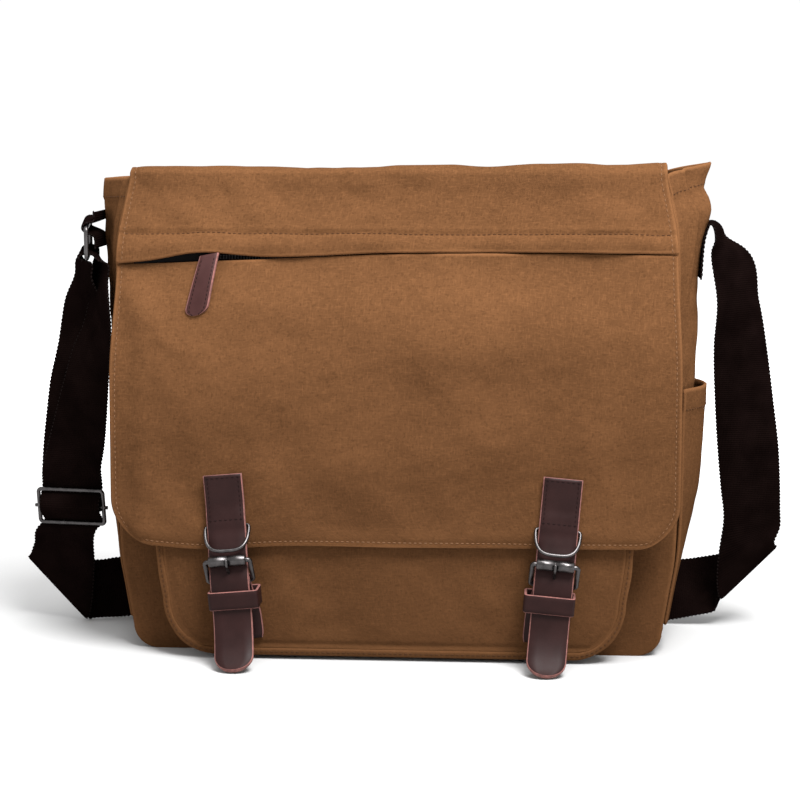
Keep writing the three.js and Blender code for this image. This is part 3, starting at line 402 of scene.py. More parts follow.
# Waxed canvas: clouded and mottled, with paler threads both ways of the weave, rubbed at its edges
def canvasMaterial():
    shader = Shader("canvas", canvasColour, 0.85, Specular_IOR_Level=0.0)
    cloud = shader.spread(shader.noise(15, 4), 0.3, 0.7)
    colour = shader.mix(cloud, tint(canvasColour, 0.85), tint(canvasColour, 1.15))
    mottle = shader.spread(shader.noise(130, 5, roughness=0.7), 0.35, 0.7)
    colour = shader.mix(shader.math("MULTIPLY", mottle, 0.4), colour, tint(canvasColour, 0.7))
    for stretch in ((1150, 210, 1), (210, 1150, 1)):
        slub = shader.spread(shader.noise(1, 2, shader.uv, stretch), 0.5, 0.74)
        colour = shader.mix(shader.math("MULTIPLY", slub, 0.4), colour, tint(canvasColour, 1.65))
    fleck = shader.spread(shader.noise(640, 2), 0.55, 0.7)
    colour = shader.mix(shader.math("MULTIPLY", fleck, 0.5), colour, tint(canvasColour, 0.55))
    rubbed = shader.spread(shader.attribute("edge"), 1.6, 0.2)
    colour = shader.mix(shader.math("MULTIPLY", rubbed, 0.55), colour, tint(canvasColour, 1.75))
    # Darker towards the foot: partly soiling, partly painted shade for the light falling off down the bag
    height = shader.nodes.new("ShaderNodeSeparateXYZ")
    shader.links.new(shader.place, height.inputs["Vector"])
    soiledAndShaded = shader.spread(height.outputs["Z"], 0.21, 0.0, 0, 0.5)
    colour = shader.mix(soiledAndShaded, colour, tint(canvasColour, 0.5))
    shader.set("Base Color", colour)
    shader.set("Roughness", shader.spread(mottle, 0, 1, 0.76, 0.92))
    weave = shader.math("ADD", shader.waves(420, "X"), shader.waves(420, "Y"))
    shader.bump(weave, 0.2, 0.0004)
    shader.bump(shader.noise(1400, 2), 0.2, 0.0004)
    shader.bump(shader.noise(220, 4), 0.3, 0.0010)
    return shader.material


def leatherMaterial(name, share=1.0):
    shader = Shader(name, leatherColour, 0.5, Specular_IOR_Level=0.09)
    grain = shader.noise(900, 3)
    cloud = shader.spread(shader.noise(70, 4), 0.3, 0.7)
    shader.set("Base Color", shader.mix(cloud, tint(leatherColour, 0.8 * share),
                                        tint(leatherColour, 1.2 * share)))
    shader.set("Roughness", shader.spread(cloud, 0, 1, 0.4, 0.56))
    shader.bump(grain, 0.12, 0.0003)
    return shader.material


def rawEdgeMaterial():
    shader = Shader("leatherEdge", rawEdgeColour, 0.8)
    cloud = shader.spread(shader.noise(420, 3), 0.3, 0.7)
    shader.set("Base Color", shader.mix(cloud, tint(rawEdgeColour, 0.6), tint(rawEdgeColour, 1.15)))
    shader.bump(cloud, 0.3, 0.0003)
    return shader.material


# Webbing: fine ribs across its width, hairy edges
def webbingMaterial():
    shader = Shader("webbing", webColour, 0.9, Specular_IOR_Level=0.0)
    ribs = shader.math("ADD", shader.waves(330, "X"),
                       shader.math("MULTIPLY", shader.waves(250, "Y"), 0.8))
    cloud = shader.spread(shader.noise(60, 5), 0.3, 0.7)
    shader.set("Base Color", shader.mix(cloud, tint(webColour, 0.7), tint(webColour, 1.5)))
    shader.bump(ribs, 0.5, 0.0005)
    shader.bump(shader.noise(1600, 2), 0.25, 0.0003)
    return shader.material


def metalMaterial():
    shader = Shader("darkMetal", metalColour, 0.34, 1.0)
    wear = shader.spread(shader.noise(260, 4), 0.35, 0.7)
    shader.set("Base Color", shader.mix(wear, tint(metalColour, 0.75), tint(metalColour, 1.25)))
    shader.set("Roughness", shader.spread(wear, 0, 1, 0.26, 0.44))
    return shader.material


canvas = canvasMaterial()
leather = leatherMaterial("leather")
# The puller's leather is the same leather made lighter: painted light for its face turned up to the lamps
# and its sheen
litPullerLeather = leatherMaterial("litPullerLeather", 2.2)
leatherEdge = rawEdgeMaterial()
webbing = webbingMaterial()
metal = metalMaterial()
thread = Shader("thread", threadColour, 0.8, Specular_IOR_Level=0.1).material
paleThread = Shader("paleThread", paleThreadColour, 0.8, Specular_IOR_Level=0.1).material
webThread = Shader("webThread", tint(webColour, 1.3), 0.9, Specular_IOR_Level=0.05).material
leatherThread = Shader("leatherThread", tint(leatherColour, 0.6), 0.8, Specular_IOR_Level=0.1).material
tapeCloth = Shader("zipTape", tapeColour, 0.9, Specular_IOR_Level=0.1).material
toothMetal = Shader("zipTeeth", tint(metalColour, 0.6), 0.35, 1.0).material
print("materials made")


# A row of small pieces along paths: stitches, webbing picots, zip teeth
def pieceRowGroup():
    group = bpy.data.node_groups.new("pieceRow", "GeometryNodeTree")
    face = group.interface
    face.new_socket("Geometry", in_out="INPUT", socket_type="NodeSocketGeometry")
    for name in ("Pitch", "Length", "Radius"):
        face.new_socket(name, in_out="INPUT", socket_type="NodeSocketFloat")
    face.new_socket("Material", in_out="INPUT", socket_type="NodeSocketMaterial")
    face.new_socket("Geometry", in_out="OUTPUT", socket_type="NodeSocketGeometry")
    add = group.nodes.new
    link = group.links.new
    start = add("NodeGroupInput")
    toCurve = add("GeometryNodeMeshToCurve")
    resample = add("GeometryNodeResampleCurve")
    resample.mode = "LENGTH"
    tangent = add("GeometryNodeInputTangent")
    align = add("FunctionNodeAlignRotationToVector")
    align.axis = "Z"
    bead = add("GeometryNodeMeshUVSphere")
    bead.inputs["Segments"].default_value = 6
    bead.inputs["Rings"].default_value = 4
    bead.inputs["Radius"].default_value = 1
    size = add("ShaderNodeCombineXYZ")
    place = add("GeometryNodeInstanceOnPoints")
    realize = add("GeometryNodeRealizeInstances")
    finish = add("GeometryNodeSetMaterial")
    end = add("NodeGroupOutput")
    link(start.outputs["Geometry"], toCurve.inputs["Mesh"])
    link(toCurve.outputs["Curve"], resample.inputs["Curve"])
    link(start.outputs["Pitch"], resample.inputs["Length"])
    link(tangent.outputs["Tangent"], align.inputs["Vector"])
    link(start.outputs["Radius"], size.inputs["X"])
    link(start.outputs["Radius"], size.inputs["Y"])
    link(start.outputs["Length"], size.inputs["Z"])
    link(resample.outputs["Curve"], place.inputs["Points"])
    link(bead.outputs["Mesh"], place.inputs["Instance"])
    link(align.outputs["Rotation"], place.inputs["Rotation"])
    link(size.outputs["Vector"], place.inputs["Scale"])
    link(place.outputs["Instances"], realize.inputs["Geometry"])
    link(realize.outputs["Geometry"], finish.inputs["Geometry"])
    link(start.outputs["Material"], finish.inputs["Material"])
    link(finish.outputs["Geometry"], end.inputs["Geometry"])
    return group


pieceRows = pieceRowGroup()


# `length` and `radius` are half sizes in millimetres; each path is a list of points
def pieceRow(name, paths, pitch, length, radius, material):
    mesh = bpy.data.meshes.new(name)
    points = np.concatenate([np.asarray(path, float) for path in paths])
    edges = []
    base = 0
    for path in paths:
        edges += [(base + k, base + k + 1) for k in range(len(path) - 1)]
        base += len(path)
    mesh.from_pydata((points * mm).tolist(), edges, [])
    thing = bpy.data.objects.new(name, mesh)
    bpy.context.scene.collection.objects.link(thing)
    modifier = thing.modifiers.new("rows", "NODES")
    modifier.node_group = pieceRows
    values = {"Pitch": pitch * mm, "Length": length * mm, "Radius": radius * mm, "Material": material}
    for socket in pieceRows.interface.items_tree:
        if socket.in_out == "INPUT" and socket.name in values:
            modifier[socket.identifier] = values[socket.name]
    thing.data.update()
    depsgraph = bpy.context.evaluated_depsgraph_get()
    made = bpy.data.meshes.new_from_object(thing.evaluated_get(depsgraph))
    thing.modifiers.clear()
    thing.data = made
    made.shade_smooth()
    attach(thing, "root")
    return thing


# Rows of small pieces: their pitch, and half sizes, in millimetres
seam = {"pitch": 3.0, "length": 1.0, "radius": 0.3}
closureSeam = {"pitch": 2.7, "length": 0.95, "radius": 0.28}
webSeam = {"pitch": 2.6, "length": 0.9, "radius": 0.3}


def keep(thing, slot, *nodes):
    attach(thing, "root")
    if nodes:
        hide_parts(*nodes)
    return thing


# A piece of cloth, attached to the root with its CAD part hidden
def keepCloth(thing, node):
    keep(thing, "canvas", node)
    return thing


# The body: shares of its height, half width, half depth and side bulge, as in the frame's solids
body = {"height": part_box("front_panel")[1][2] / mm, "halfWidth": 163.0, "halfDepth": 38.0,
        "corner": 14.0, "bulge": 12.0, "wall": 1.8, "gap": 0.3, "backCrown": 3.0,
        "tipRise": {1: 7.7, -1: -2.0}}
bodyUp = [0, 0.05, 0.125, 0.215, 0.36, 0.54, 0.745, 0.845, 0.885, 0.917, 0.95, 1]
seamShare = follow(bodyUp, [0.945, 0.955, 0.975, 0.9975, 1, 1, 1, 0.997, 0.993, 0.984, 0.971, 0.945])
depthShare = follow(bodyUp, [1, 1, 1, 1, 1, 1, 1, 0.96, 0.9, 0.86, 0.8, 0.737])
bulgeShare = {
    -1: follow(bodyUp, [0, 0.2, 0.25, 0.35, 0.65, 0.7, 1, 1.18, 1.28, 1.42, 1.6, 1.92]),
    1: follow(bodyUp, [0.1, 0.3, 0.35, 0.45, 0.9, 1, 1, 1.13, 1.38, 1.64, 1.58, 2.26]),
}
sharpShare = follow(bodyUp, [0, 0, 0, 0, 0, 0, 0.4, 1, 1, 1, 1, 1])
flatShare = follow(bodyUp, [0, 0, 0, 0, 0, 0, 0.3, 0.45, 0.45, 0.4, 0.2, 0])


def share(z):
    return clamp(np.asarray(z, float) / body["height"])


def seamAt(z):
    return body["halfWidth"] * seamShare(share(z))


def depthAt(z):
    return body["halfDepth"] * depthShare(share(z))


def gussetReach(z):
    return depthAt(z) - body["wall"] - body["gap"]


def sideFold(side, z, v):
    blunt = flatShare(share(z)) * (side > 0)
    folded = np.minimum(1, (1 - np.abs(v)) / (1 - blunt))
    soft = np.sqrt((1 - folded) ** 2 + 0.0012) - math.sqrt(0.0012)
    return lerp(1 - v * v, 1 - soft, clamp(sharpShare(share(z))))


def gussetFace(side, z, v):
    fold = sideFold(side, z, v)
    out = seamAt(z) + body["bulge"] * bulgeShare[side](share(z)) * fold
    rise = body["tipRise"][side] * np.maximum(fold, 0) ** 0.6 * smooth((share(z) - 0.75) / 0.25)
    return xyz(side * out, v * gussetReach(z), z + rise)


cornerCentre = float(seamAt(body["corner"])) - body["corner"]


# Creases of the side walls: where along v, from and to which height, how wide and how deep
sideCreases = {
    1: [{"v": -0.7, "low": 204, "high": 286, "width": 0.055, "deep": 2.2},
        {"v": -0.56, "low": 206, "high": 280, "width": 0.07, "deep": -1.9},
        {"v": -0.3, "low": 214, "high": 268, "width": 0.1, "deep": 1.0},
        {"v": 0.72, "low": 190, "high": 280, "width": 0.1, "deep": 0.8}],
    -1: [{"v": -0.8, "low": 205, "high": 280, "width": 0.08, "deep": 1.0},
         {"v": 0.7, "low": 190, "high": 280, "width": 0.1, "deep": 0.8}],
}


def sideWrinkles(side, z, v):
    total = rumple(v * 36, z, 46, 11 + side, 2.2) * 0.7 + rumple(v * 36, z, 17, 14 + side) * 0.22
    total = total * (1 - v**4) * smooth((z - 20) / 60)
    for row in sideCreases[side]:
        within = smooth((z - row["low"]) / 16) * smooth((row["high"] - z) / 6)
        total = total + row["deep"] * bell(v, row["v"], row["width"]) * within
    return total


def gussetGrid():
    columns = 91
    v = np.linspace(-1, 1, columns)
    heights = np.linspace(body["height"], body["corner"], 120)
    angles = np.linspace(0, math.pi / 2, 9)[1:-1]
    foot = np.linspace(-cornerCentre, cornerCentre, 60)
    rows = {}
    for side in (-1, 1):
        z = heights[:, None]
        wall = gussetFace(side, z, v[None, :])
        wall[..., 0] += side * (sideWrinkles(side, z, v[None, :]) - 0.25)
        hem = smooth((z - (body["height"] - 13)) / 1.5) * 0.8
        wall[..., 0] += side * hem
        bulge = body["bulge"] * bulgeShare[side](share(body["corner"]))
        bulge = bulge * sideFold(side, body["corner"], v)
        turned = np.outer(np.cos(angles), np.full(columns, body["corner"]))
        out = cornerCentre + turned + np.outer(np.cos(angles) ** 2, bulge)
        y = np.outer(np.ones(len(angles)), v * gussetReach(0))
        up = np.outer(body["corner"] * (1 - np.sin(angles)), np.ones(columns))
        rows[side] = (wall, xyz(side * out, y, up))
    ground = xyz(foot[:, None], v[None, :] * gussetReach(0), 0.0)
    return np.concatenate([rows[-1][0], rows[-1][1], ground, rows[1][1][::-1], rows[1][0][::-1]])


gussetWall = gussetGrid()
keepCloth(clothWall("gussetCloth", gussetWall, body["wall"], (0, 0, 150), [canvas]),
          "gusset")


# The panels' rows go up the rounded lower corners, then the sides
def panelRows(count):
    angles = np.linspace(math.pi / 2, 0, 12)
    z = body["corner"] * (1 - np.sin(angles))
    half = cornerCentre + body["corner"] * np.cos(angles)
    up = np.linspace(body["corner"], body["height"], count)[1:]
    return np.concatenate([z, up]), np.concatenate([half, seamAt(up)])


def panelGrid(facing, crown, seed):
    z, half = panelRows(100)
    u = np.linspace(-1, 1, 110)
    x = half[:, None] * u[None, :]
    zz = z[:, None] + 0 * x
    swell = crown * crownAt(u[None, :], 1) * np.sin(math.pi * share(zz)) ** 2
    fade = smooth((1 - np.abs(u[None, :])) / 0.08) * smooth(zz / 12)
    fade = fade * smooth((body["height"] - zz) / 14)
    waves = (rumple(x, zz, 75, seed, 1.6) * 0.7 + rumple(x, zz, 28, seed + 1) * 0.25) * fade
    pinch = 0.5 * bell(half[:, None] - np.abs(x), 3.2, 1.6) * smooth((zz - 6) / 10)
    depth = depthAt(zz) + swell + np.minimum(waves, 0.3) * (0.6 if facing < 0 else 1) - pinch
    return xyz(x, facing * depth, zz)


keepCloth(clothWall("backCloth", panelGrid(1, body["backCrown"], 31), body["wall"], (0, 0, 140),
                    [canvas]), "back_panel")
frontGrid = panelGrid(-1, 0, 35)
keepCloth(clothWall("frontCloth", frontGrid, body["wall"], (0, 0, 140), [canvas]),
          "front_panel")

# Slip pockets on the side walls
sidePocket = {"mouth": 157.0, "foot": 18.0, "reach": 0.92, "gape": {1: 4.4, -1: 0.2}}


def sidePocketGrid(side):
    z = np.linspace(sidePocket["mouth"], sidePocket["foot"], 60)[:, None]
    v = np.linspace(-1, 1, 41)[None, :] * sidePocket["reach"]
    opening = smooth((z - 40) / (sidePocket["mouth"] - 40)) * (1 - (v / sidePocket["reach"]) ** 2)
    grid = gussetFace(side, z, v)
    hem = 0.5 * smooth((z - sidePocket["mouth"] + 13) / 1.5)
    lift = body["gap"] * 1.7 + body["wall"] + sidePocket["gape"][side] * opening + hem
    ease = np.maximum(sideWrinkles(side, z, v) * 0.6, -0.1)
    grid[..., 0] += side * (lift + ease)
    return grid


for side, name in ((-1, "left"), (1, "right")):
    keepCloth(clothWall(f"{name}SidePocket", sidePocketGrid(side), body["wall"], (0, 0, 90), [canvas]),
              f"side_pocket_{name}")
print("body made")

# The raised front pocket
pocket = {"top": 178.0, "bottom": 2.4, "halfWidth": 138.0, "depth": 22.0, "taper": 0.22, "crown": 2.5,
          "rim": 4.5, "rimThick": 3.4, "lip": 0.6, "across": 30.6, "up": 33.6}
pocket["inset"] = pocket["rim"] + body["gap"]


def pocketPlane(z):
    return body["halfDepth"] + pocket["depth"] * (1 - pocket["taper"]
                                                  * smooth((z - 100) / (pocket["top"] - 100)))


def pocketOutline(inset, steps=60):
    cornerTop = pocket["bottom"] + pocket["up"]
    foot = pocket["halfWidth"] - 3.4
    angle = np.linspace(math.pi / 2, 0, 22)[:-1]
    cornerZ = cornerTop - (pocket["up"] - inset) * np.sin(angle)
    cornerHalf = foot - pocket["across"] + (pocket["across"] - inset) * np.cos(angle)
    ups = np.linspace(0, 1, steps)
    half = follow([0, 0.17, 0.45, 0.62, 0.8, 1],
                  [-3.4, 0, 0.8, 1.2, 1.6, 2])(ups) + pocket["halfWidth"] - inset
    heights = np.concatenate([cornerZ, lerp(cornerTop, pocket["top"], ups)])
    return heights, np.concatenate([cornerHalf, half])


def pocketSwell(x, z):
    rise = np.sin(math.pi * clamp((z - pocket["bottom"] - 5)
                                  / (pocket["top"] - pocket["bottom"] - 5))) ** 2
    return pocket["crown"] * crownAt(x, pocket["halfWidth"] - pocket["inset"]) * rise


def pocketFaceGrid():
    z, half = pocketOutline(pocket["inset"] - 0.2)
    u = np.linspace(-1, 1, 120)
    x = half[:, None] * u[None, :]
    zz = z[:, None] + 0 * x
    fromEdge = np.minimum(half[:, None] - np.abs(x), zz - z[0])
    waves = (rumple(x, zz, 60, 41, 1.3) * 0.6 + rumple(x, zz, 22, 42) * 0.25) * smooth(fromEdge / 14)
    channel = 0.8 * bell(fromEdge, 2.4, 1.4)
    return xyz(x, -(pocketPlane(zz) + pocketSwell(x, zz) + np.minimum(waves, 0.8) - channel), zz)


pocketGrid = pocketFaceGrid()
keepCloth(clothWall("pocketCloth", pocketGrid, body["wall"], (0, 0, 100), [canvas]),
          "pocket_face")


def bothSides(z, half):
    return np.concatenate([z[::-1], z]), np.concatenate([-half[::-1], half])


def pocketWallGrid():
    z, x = bothSides(*pocketOutline(pocket["inset"]))
    t = np.linspace(0, 1, 14)[None, :]
    near = body["halfDepth"] + body["gap"]
    far = pocketPlane(z)[:, None] - body["wall"] - body["gap"]
    depth = lerp(near, far, t)
    return xyz(x[:, None] + 0 * depth, -depth, z[:, None] + 0 * depth)


keepCloth(clothWall("pocketWall", pocketWallGrid(), body["wall"], (0, -50, 100), [canvas]),
          "pocket_gusset")


# The pinched rim: two layers sewn together, with a rounded lip
def pocketRimSweep():
    z, x = bothSides(*pocketOutline(pocket["rim"] / 2))
    depth = pocketPlane(z) + pocket["lip"] - pocket["rimThick"] / 2
    centres = xyz(x, -depth, z)
    ahead = np.gradient(centres, axis=0)
    outward = unit(np.cross(ahead, np.array([0.0, 1.0, 0.0])))
    inside = np.array([0, -50, 110.0])
    outward *= np.where(np.sum(outward * (centres - inside), axis=-1) > 0, 1, -1)[:, None]
    run = runAlong(centres)
    ease = 1 + 0.05 * np.sin(run / 5.1) + 0.04 * np.sin(run / 3.3)
    angles = np.radians(np.arange(0, 360, 20))
    a = np.sign(np.cos(angles)) * np.abs(np.cos(angles)) ** 0.7
    b = np.sign(np.sin(angles)) * np.abs(np.sin(angles)) ** 0.7 * pocket["rimThick"] / 2
    profile = np.stack([a[None, :] * ease[:, None], np.broadcast_to(b, (len(run), len(b)))], axis=-1)
    way = np.broadcast_to(np.array([0.0, -1.0, 0.0]), centres.shape)
    return sweep("pocketRim", centres, outward * pocket["rim"] / 2, profile, [canvas], False, way)


keep(pocketRimSweep(), "canvas", "pocket_rim")
print("pocket made")

# The flap below the zip
flap = {"cloth": 2.0, "roofHalf": 155.0, "half": 164.0, "sewn": 263.0, "roofRise": 3.0, "roofTilt": 1.5,
        "roofDip": 1.2, "fold": 248.0, "lift": 3.5, "edge": 234.0, "wave": 4.0, "gap": 1.5,
         "arch": 4.4, "archAt": -112.0,
        "archWide": 26.0, "hem": 69.0, "hemSag": 3.0, "ripple": 1.2, "corner": 25.0, "drape": 0.22}
zipRise = follow([0, 0.17, 0.33, 0.5, 0.75, 1], [-1.05, -0.45, 0.1, 0.7, 0.8, 0.68])
flapLift = follow([0, 0.13, 0.23, 0.323, 0.4, 0.55, 0.8, 1], [0.05, 0.4, 0.63, 0.81, 0.89, 0.96, 1, 1])


def edgeBase(x):
    return flap["edge"] + flap["wave"] * zipRise((np.asarray(x, float) / flap["half"] + 1) / 2)


def edgeHeight(x):
    return edgeBase(x) + flap["arch"] * bell(x, flap["archAt"], flap["archWide"])


def frontTop(x):
    return edgeBase(x) - flap["gap"]


def flapFrontDepth(x, z):
    down = clamp((frontTop(x) - z) / (frontTop(x) - flap["hem"]))
    drape = 1 - flap["drape"] * smooth((np.abs(x) - pocket["halfWidth"] - 4) / 18)
    stand = (pocket["depth"] + pocket["lip"]) * flapLift(down) * drape
    ripple = flap["ripple"] * smooth((down - 0.75) / 0.25) * (0.5 + 0.5 * np.cos(x / 17))
    swell = pocket["crown"] * crownAt(x, body["halfWidth"]) * smooth(down / 0.3)
    return body["halfDepth"] + 2 * body["gap"] + flap["cloth"] + stand + swell + ripple


def flapSag(x, z):
    return -flap["hemSag"] * bell(x, -110, 34) * smooth(1 - (z - flap["hem"]) / 60)


# Creases of the flap's front, in millimetres: from, to, width and depth
flapCreases = [
    {"start": (-166, 222), "end": (-124, 186), "width": 8, "deep": 2.2},
    {"start": (-162, 198), "end": (-130, 120), "width": 14, "deep": -2.2},
    {"start": (-150, 226), "end": (-120, 212), "width": 6, "deep": -0.7},
    {"start": (-104, 196), "end": (-40, 186), "width": 12, "deep": -0.9},
    {"start": (-66, 116), "end": (-34, 84), "width": 13, "deep": -1.3},
    {"start": (-76, 118), "end": (-74, 74), "width": 7, "deep": 0.8},
    {"start": (-20, 176), "end": (-58, 140), "width": 11, "deep": -0.8},
    {"start": (30, 214), "end": (122, 196), "width": 10, "deep": 1.0},
    {"start": (158, 206), "end": (134, 112), "width": 12, "deep": -1.3},
    {"start": (66, 112), "end": (36, 82), "width": 12, "deep": -1.0},
    {"start": (-152, 112), "end": (-118, 84), "width": 8, "deep": 0.8},
]


def flapRelief(x, z, fromEdge):
    total = rumple(x, z, 88, 51, 0.8) * 0.8 + rumple(x, z, 34, 52) * 0.38 + rumple(x, z, 13, 53) * 0.1
    for row in flapCreases:
        total = total + row["deep"] * crease(x, z, row["start"], row["end"], row["width"])
    total = np.minimum(total, 2.2) * smooth((fromEdge + 3) / 16)
    channel = 0.4 * bell(fromEdge, 2.6, 0.9)
    hem = 0.25 * smooth((10.5 - fromEdge) / 1.5)
    return total - channel + hem


def flapOutline(inset, sideSteps=90):
    angle = np.linspace(math.pi / 2, 0, 18)[:-1]
    radius = flap["corner"] - inset
    z = flap["hem"] + inset + radius * (1 - np.sin(angle))
    half = flap["half"] - inset - radius * (1 - np.cos(angle))
    part = np.linspace(0, 1, sideSteps)
    side = flap["half"] - inset - 2.6 * smooth((part - 0.5) / 0.5)
    foot = flap["hem"] + flap["corner"]
    full = np.concatenate([np.zeros(17), part])
    return np.concatenate([z, foot + 0 * part]), np.concatenate([half, side]), full


# The height of an outline's row at x: above the rounded corner it stretches up to the zip's line
def outlineHeight(z, full, x, inset=0.0):
    return lerp(z, frontTop(x) - 0.6 * inset, full)


def flapLowerPoint(x, z, fromEdge):
    zz = z + flapSag(x, z)
    return xyz(x, -(flapFrontDepth(x, z) + flapRelief(x, z, fromEdge)), zz)


def flapLowerGrid():
    z, half, full = flapOutline(0)
    s = np.linspace(-1, 1, 170)
    s = np.sign(s) * (1 - (1 - np.abs(s)) ** 1.25)
    x = half[:, None] * s[None, :]
    zz = outlineHeight(z[:, None], full[:, None], x)
    fromEdge = np.minimum(half[:, None] - np.abs(x), zz - flap["hem"])
    return flapLowerPoint(x, zz, np.maximum(fromEdge, 0))


keepCloth(clothWall("flapFront", flapLowerGrid(), flap["cloth"], (0, 0, 150), [canvas]),
          "flap_lower")


def stitchOnFlap(inset, lift=0.12):
    z, half, full = flapOutline(inset)
    zAll, xAll = bothSides(z, half)
    fullAll = np.concatenate([full[::-1], full])
    zAll = outlineHeight(zAll, fullAll, xAll, inset)
    bottomLeft = len(z) - 1
    between = np.linspace(xAll[bottomLeft], xAll[bottomLeft + 1], 120)[1:-1]
    x = np.concatenate([xAll[: bottomLeft + 1], between, xAll[bottomLeft + 1:]])
    zz = np.concatenate([zAll[: bottomLeft + 1], np.full(118, zAll[bottomLeft]), zAll[bottomLeft + 1:]])
    path = flapLowerPoint(x, zz, np.full(len(x), inset))
    path[:, 1] -= lift
    return path


pieceRow("flapStitches", [stitchOnFlap(2.6)], **seam, material=paleThread)

# The flap above the zip: rows of back share and rise over the roof, then down the front
roofRows = [(1.02, -1), (0.99, -0.1), (0.86, 0.2), (0.5, 0.4), (0, 0.6), (-0.45, 0.78), (-0.85, 0.8),
            (-0.99, 0.1), (-1.02, -1)]
fallRows = [(0.25, 0.1), (0.6, 0.3), (0.85, 0.45), (1, 0.62)]
bandRows = [(0.15, 0.85), (0.55, 1.25), (1, 1.2)]
roofCreases = [
    {"start": (-140, 276), "end": (-116, 252), "width": 7, "deep": 1.0},
    {"start": (-112, 276), "end": (-92, 253), "width": 8, "deep": -1.1},
    {"start": (-156, 262), "end": (-140, 256), "width": 5, "deep": -0.5},
    {"start": (-60, 266), "end": (40, 262), "width": 6, "deep": -0.6},
    {"start": (96, 272), "end": (124, 254), "width": 7, "deep": 0.7},
    {"start": (128, 270), "end": (154, 254), "width": 6, "deep": -0.7},
]


# Depth, height and half width of each row across the flap's top, at the places x
def flapTopRows(x):
    rim = float(depthAt(body["height"])) + body["gap"] + flap["cloth"]
    roof = body["height"] + body["gap"] + flap["cloth"]
    rows = []
    for part in (0, 0.55):
        z = lerp(flap["sewn"], body["height"], part)
        swell = body["backCrown"] * crownAt(x / flap["roofHalf"], 1)
        swell = swell * math.sin(math.pi * z / body["height"]) ** 2
        rows.append((float(depthAt(z)) + swell + body["gap"] + flap["cloth"], z + 0 * x,
                     flap["roofHalf"]))
    for back, rise in roofRows:
        tilt = flap["roofTilt"] * (1 + x / flap["roofHalf"])
        tilt = tilt - flap["roofDip"] * crownAt(x, flap["roofHalf"])
        rows.append((back * rim + 0 * x, roof + rise * flap["roofRise"] + max(rise, 0) * tilt,
                     flap["roofHalf"]))

    def hang(z, lift):
        return -(depthAt(z) + body["gap"] + flap["cloth"] + lift * flap["lift"])

    for down, lift in fallRows:
        z = lerp(roof - flap["roofRise"], flap["fold"], down) + 0 * x
        rows.append((hang(z, lift), z, lerp(flap["roofHalf"], flap["half"] - 3.4, down)))
    for down, lift in bandRows:
        z = lerp(flap["fold"], edgeHeight(x), down)
        curl = 0.8 * bell(x, flap["archAt"], 2 * flap["archWide"]) * down
        rows.append((hang(z, lift) - curl, z, flap["half"] - 3.4 + down))
    return rows


def flapTopGrid(columns=210, steps=7):
    s = np.linspace(-1, 1, columns)
    coarse = []
    for row in range(len(flapTopRows(np.zeros(1)))):
        half = flapTopRows(np.zeros(1))[row][2]
        x = half * s
        depth, z = flapTopRows(x)[row][:2]
        coarse.append(xyz(x, depth, z))
    grid = throughPoints(np.array(coarse).reshape(len(coarse), -1), steps).reshape(-1, columns, 3)
    normal = surfaceNormals(grid, (0, 0, 200))
    x, z = grid[..., 0], grid[..., 2]
    front = smooth((-grid[..., 1] - 12) / 16)
    rolled = lengths(grid, 0)
    fromSide = 158 - np.abs(x)
    relief = rumple(x, rolled, 70, 61, 0.6) * 0.55 + rumple(x, rolled, 24, 62, 0.8) * 0.22
    for row in roofCreases:
        relief = relief + row["deep"] * crease(x, z, row["start"], row["end"], row["width"]) * front
    relief = np.clip(relief, -0.6, 1.2) * smooth(fromSide / 12 + 0.2)
    foldLine = 0.5 * bell(z, flap["fold"] - 1.2, 1.0) * front
    above = 0.5 * bell(z, flap["fold"] + 1.6, 1.6) * front
    sideChannel = 0.35 * bell((1 - np.abs(s)) * 158, 3.0, 1.0)
    return grid + normal * (relief - foldLine + above - sideChannel)[..., None]


flapTop = flapTopGrid()
keepCloth(clothWall("flapTop", flapTop, flap["cloth"], (0, 0, 200), [canvas]),
          "flap_upper")


def gridPath(grid, normal, rows, columns, lift=0.1):
    return grid[rows, columns] + normal[rows, columns] * lift


def flapTopStitches():
    normal = surfaceNormals(flapTop, (0, 0, 200))
    rows, columns = flapTop.shape[:2]
    middle = columns // 2
    front = np.where((flapTop[:, middle, 2] < 275) & (flapTop[:, middle, 1] < 0))[0]
    foldRow = front[np.argmin(np.abs(flapTop[front, middle, 2] - flap["fold"] + 1.2))]
    back = np.argmin(np.abs(flapTop[:20, middle, 2] - flap["sewn"] - 4))
    across = np.arange(3, columns - 3)
    paths = [gridPath(flapTop, normal, np.full(len(across), foldRow), across),
             gridPath(flapTop, normal, np.full(len(across), back), across)]
    down = np.arange(2, rows - 2)
    sides = [gridPath(flapTop, normal, down, np.full(len(down), column)) for column in (2, columns - 3)]
    return paths, sides


flapTopSeams, flapTopSides = flapTopStitches()
pieceRow("flapTopStitches", flapTopSeams, 3.0, 1.0, 0.28, thread)
pieceRow("flapTopSideStitches", flapTopSides, **seam, material=paleThread)

# The zip: tape, teeth, slider and leather puller
zipper = {"top": 247.0, "bottom": 222.0, "half": 152.0, "standoff": 2.0, "place": -107.0, "tape": 1.0}
slide = {"width": 6.0, "height": 4.2, "depth": 3.4, "foot": 231.2}
puller = {"top": 234.6, "length": 34.0, "topWidth": 11.0, "width": 14.0, "thick": 2.6, "lean": 0.2}


def tapeGrid():
    z = np.linspace(zipper["bottom"], zipper["top"], 14)[:, None]
    x = np.linspace(-1, 1, 60)[None, :] * zipper["half"]
    return xyz(x, -(depthAt(z) + zipper["standoff"]), z)


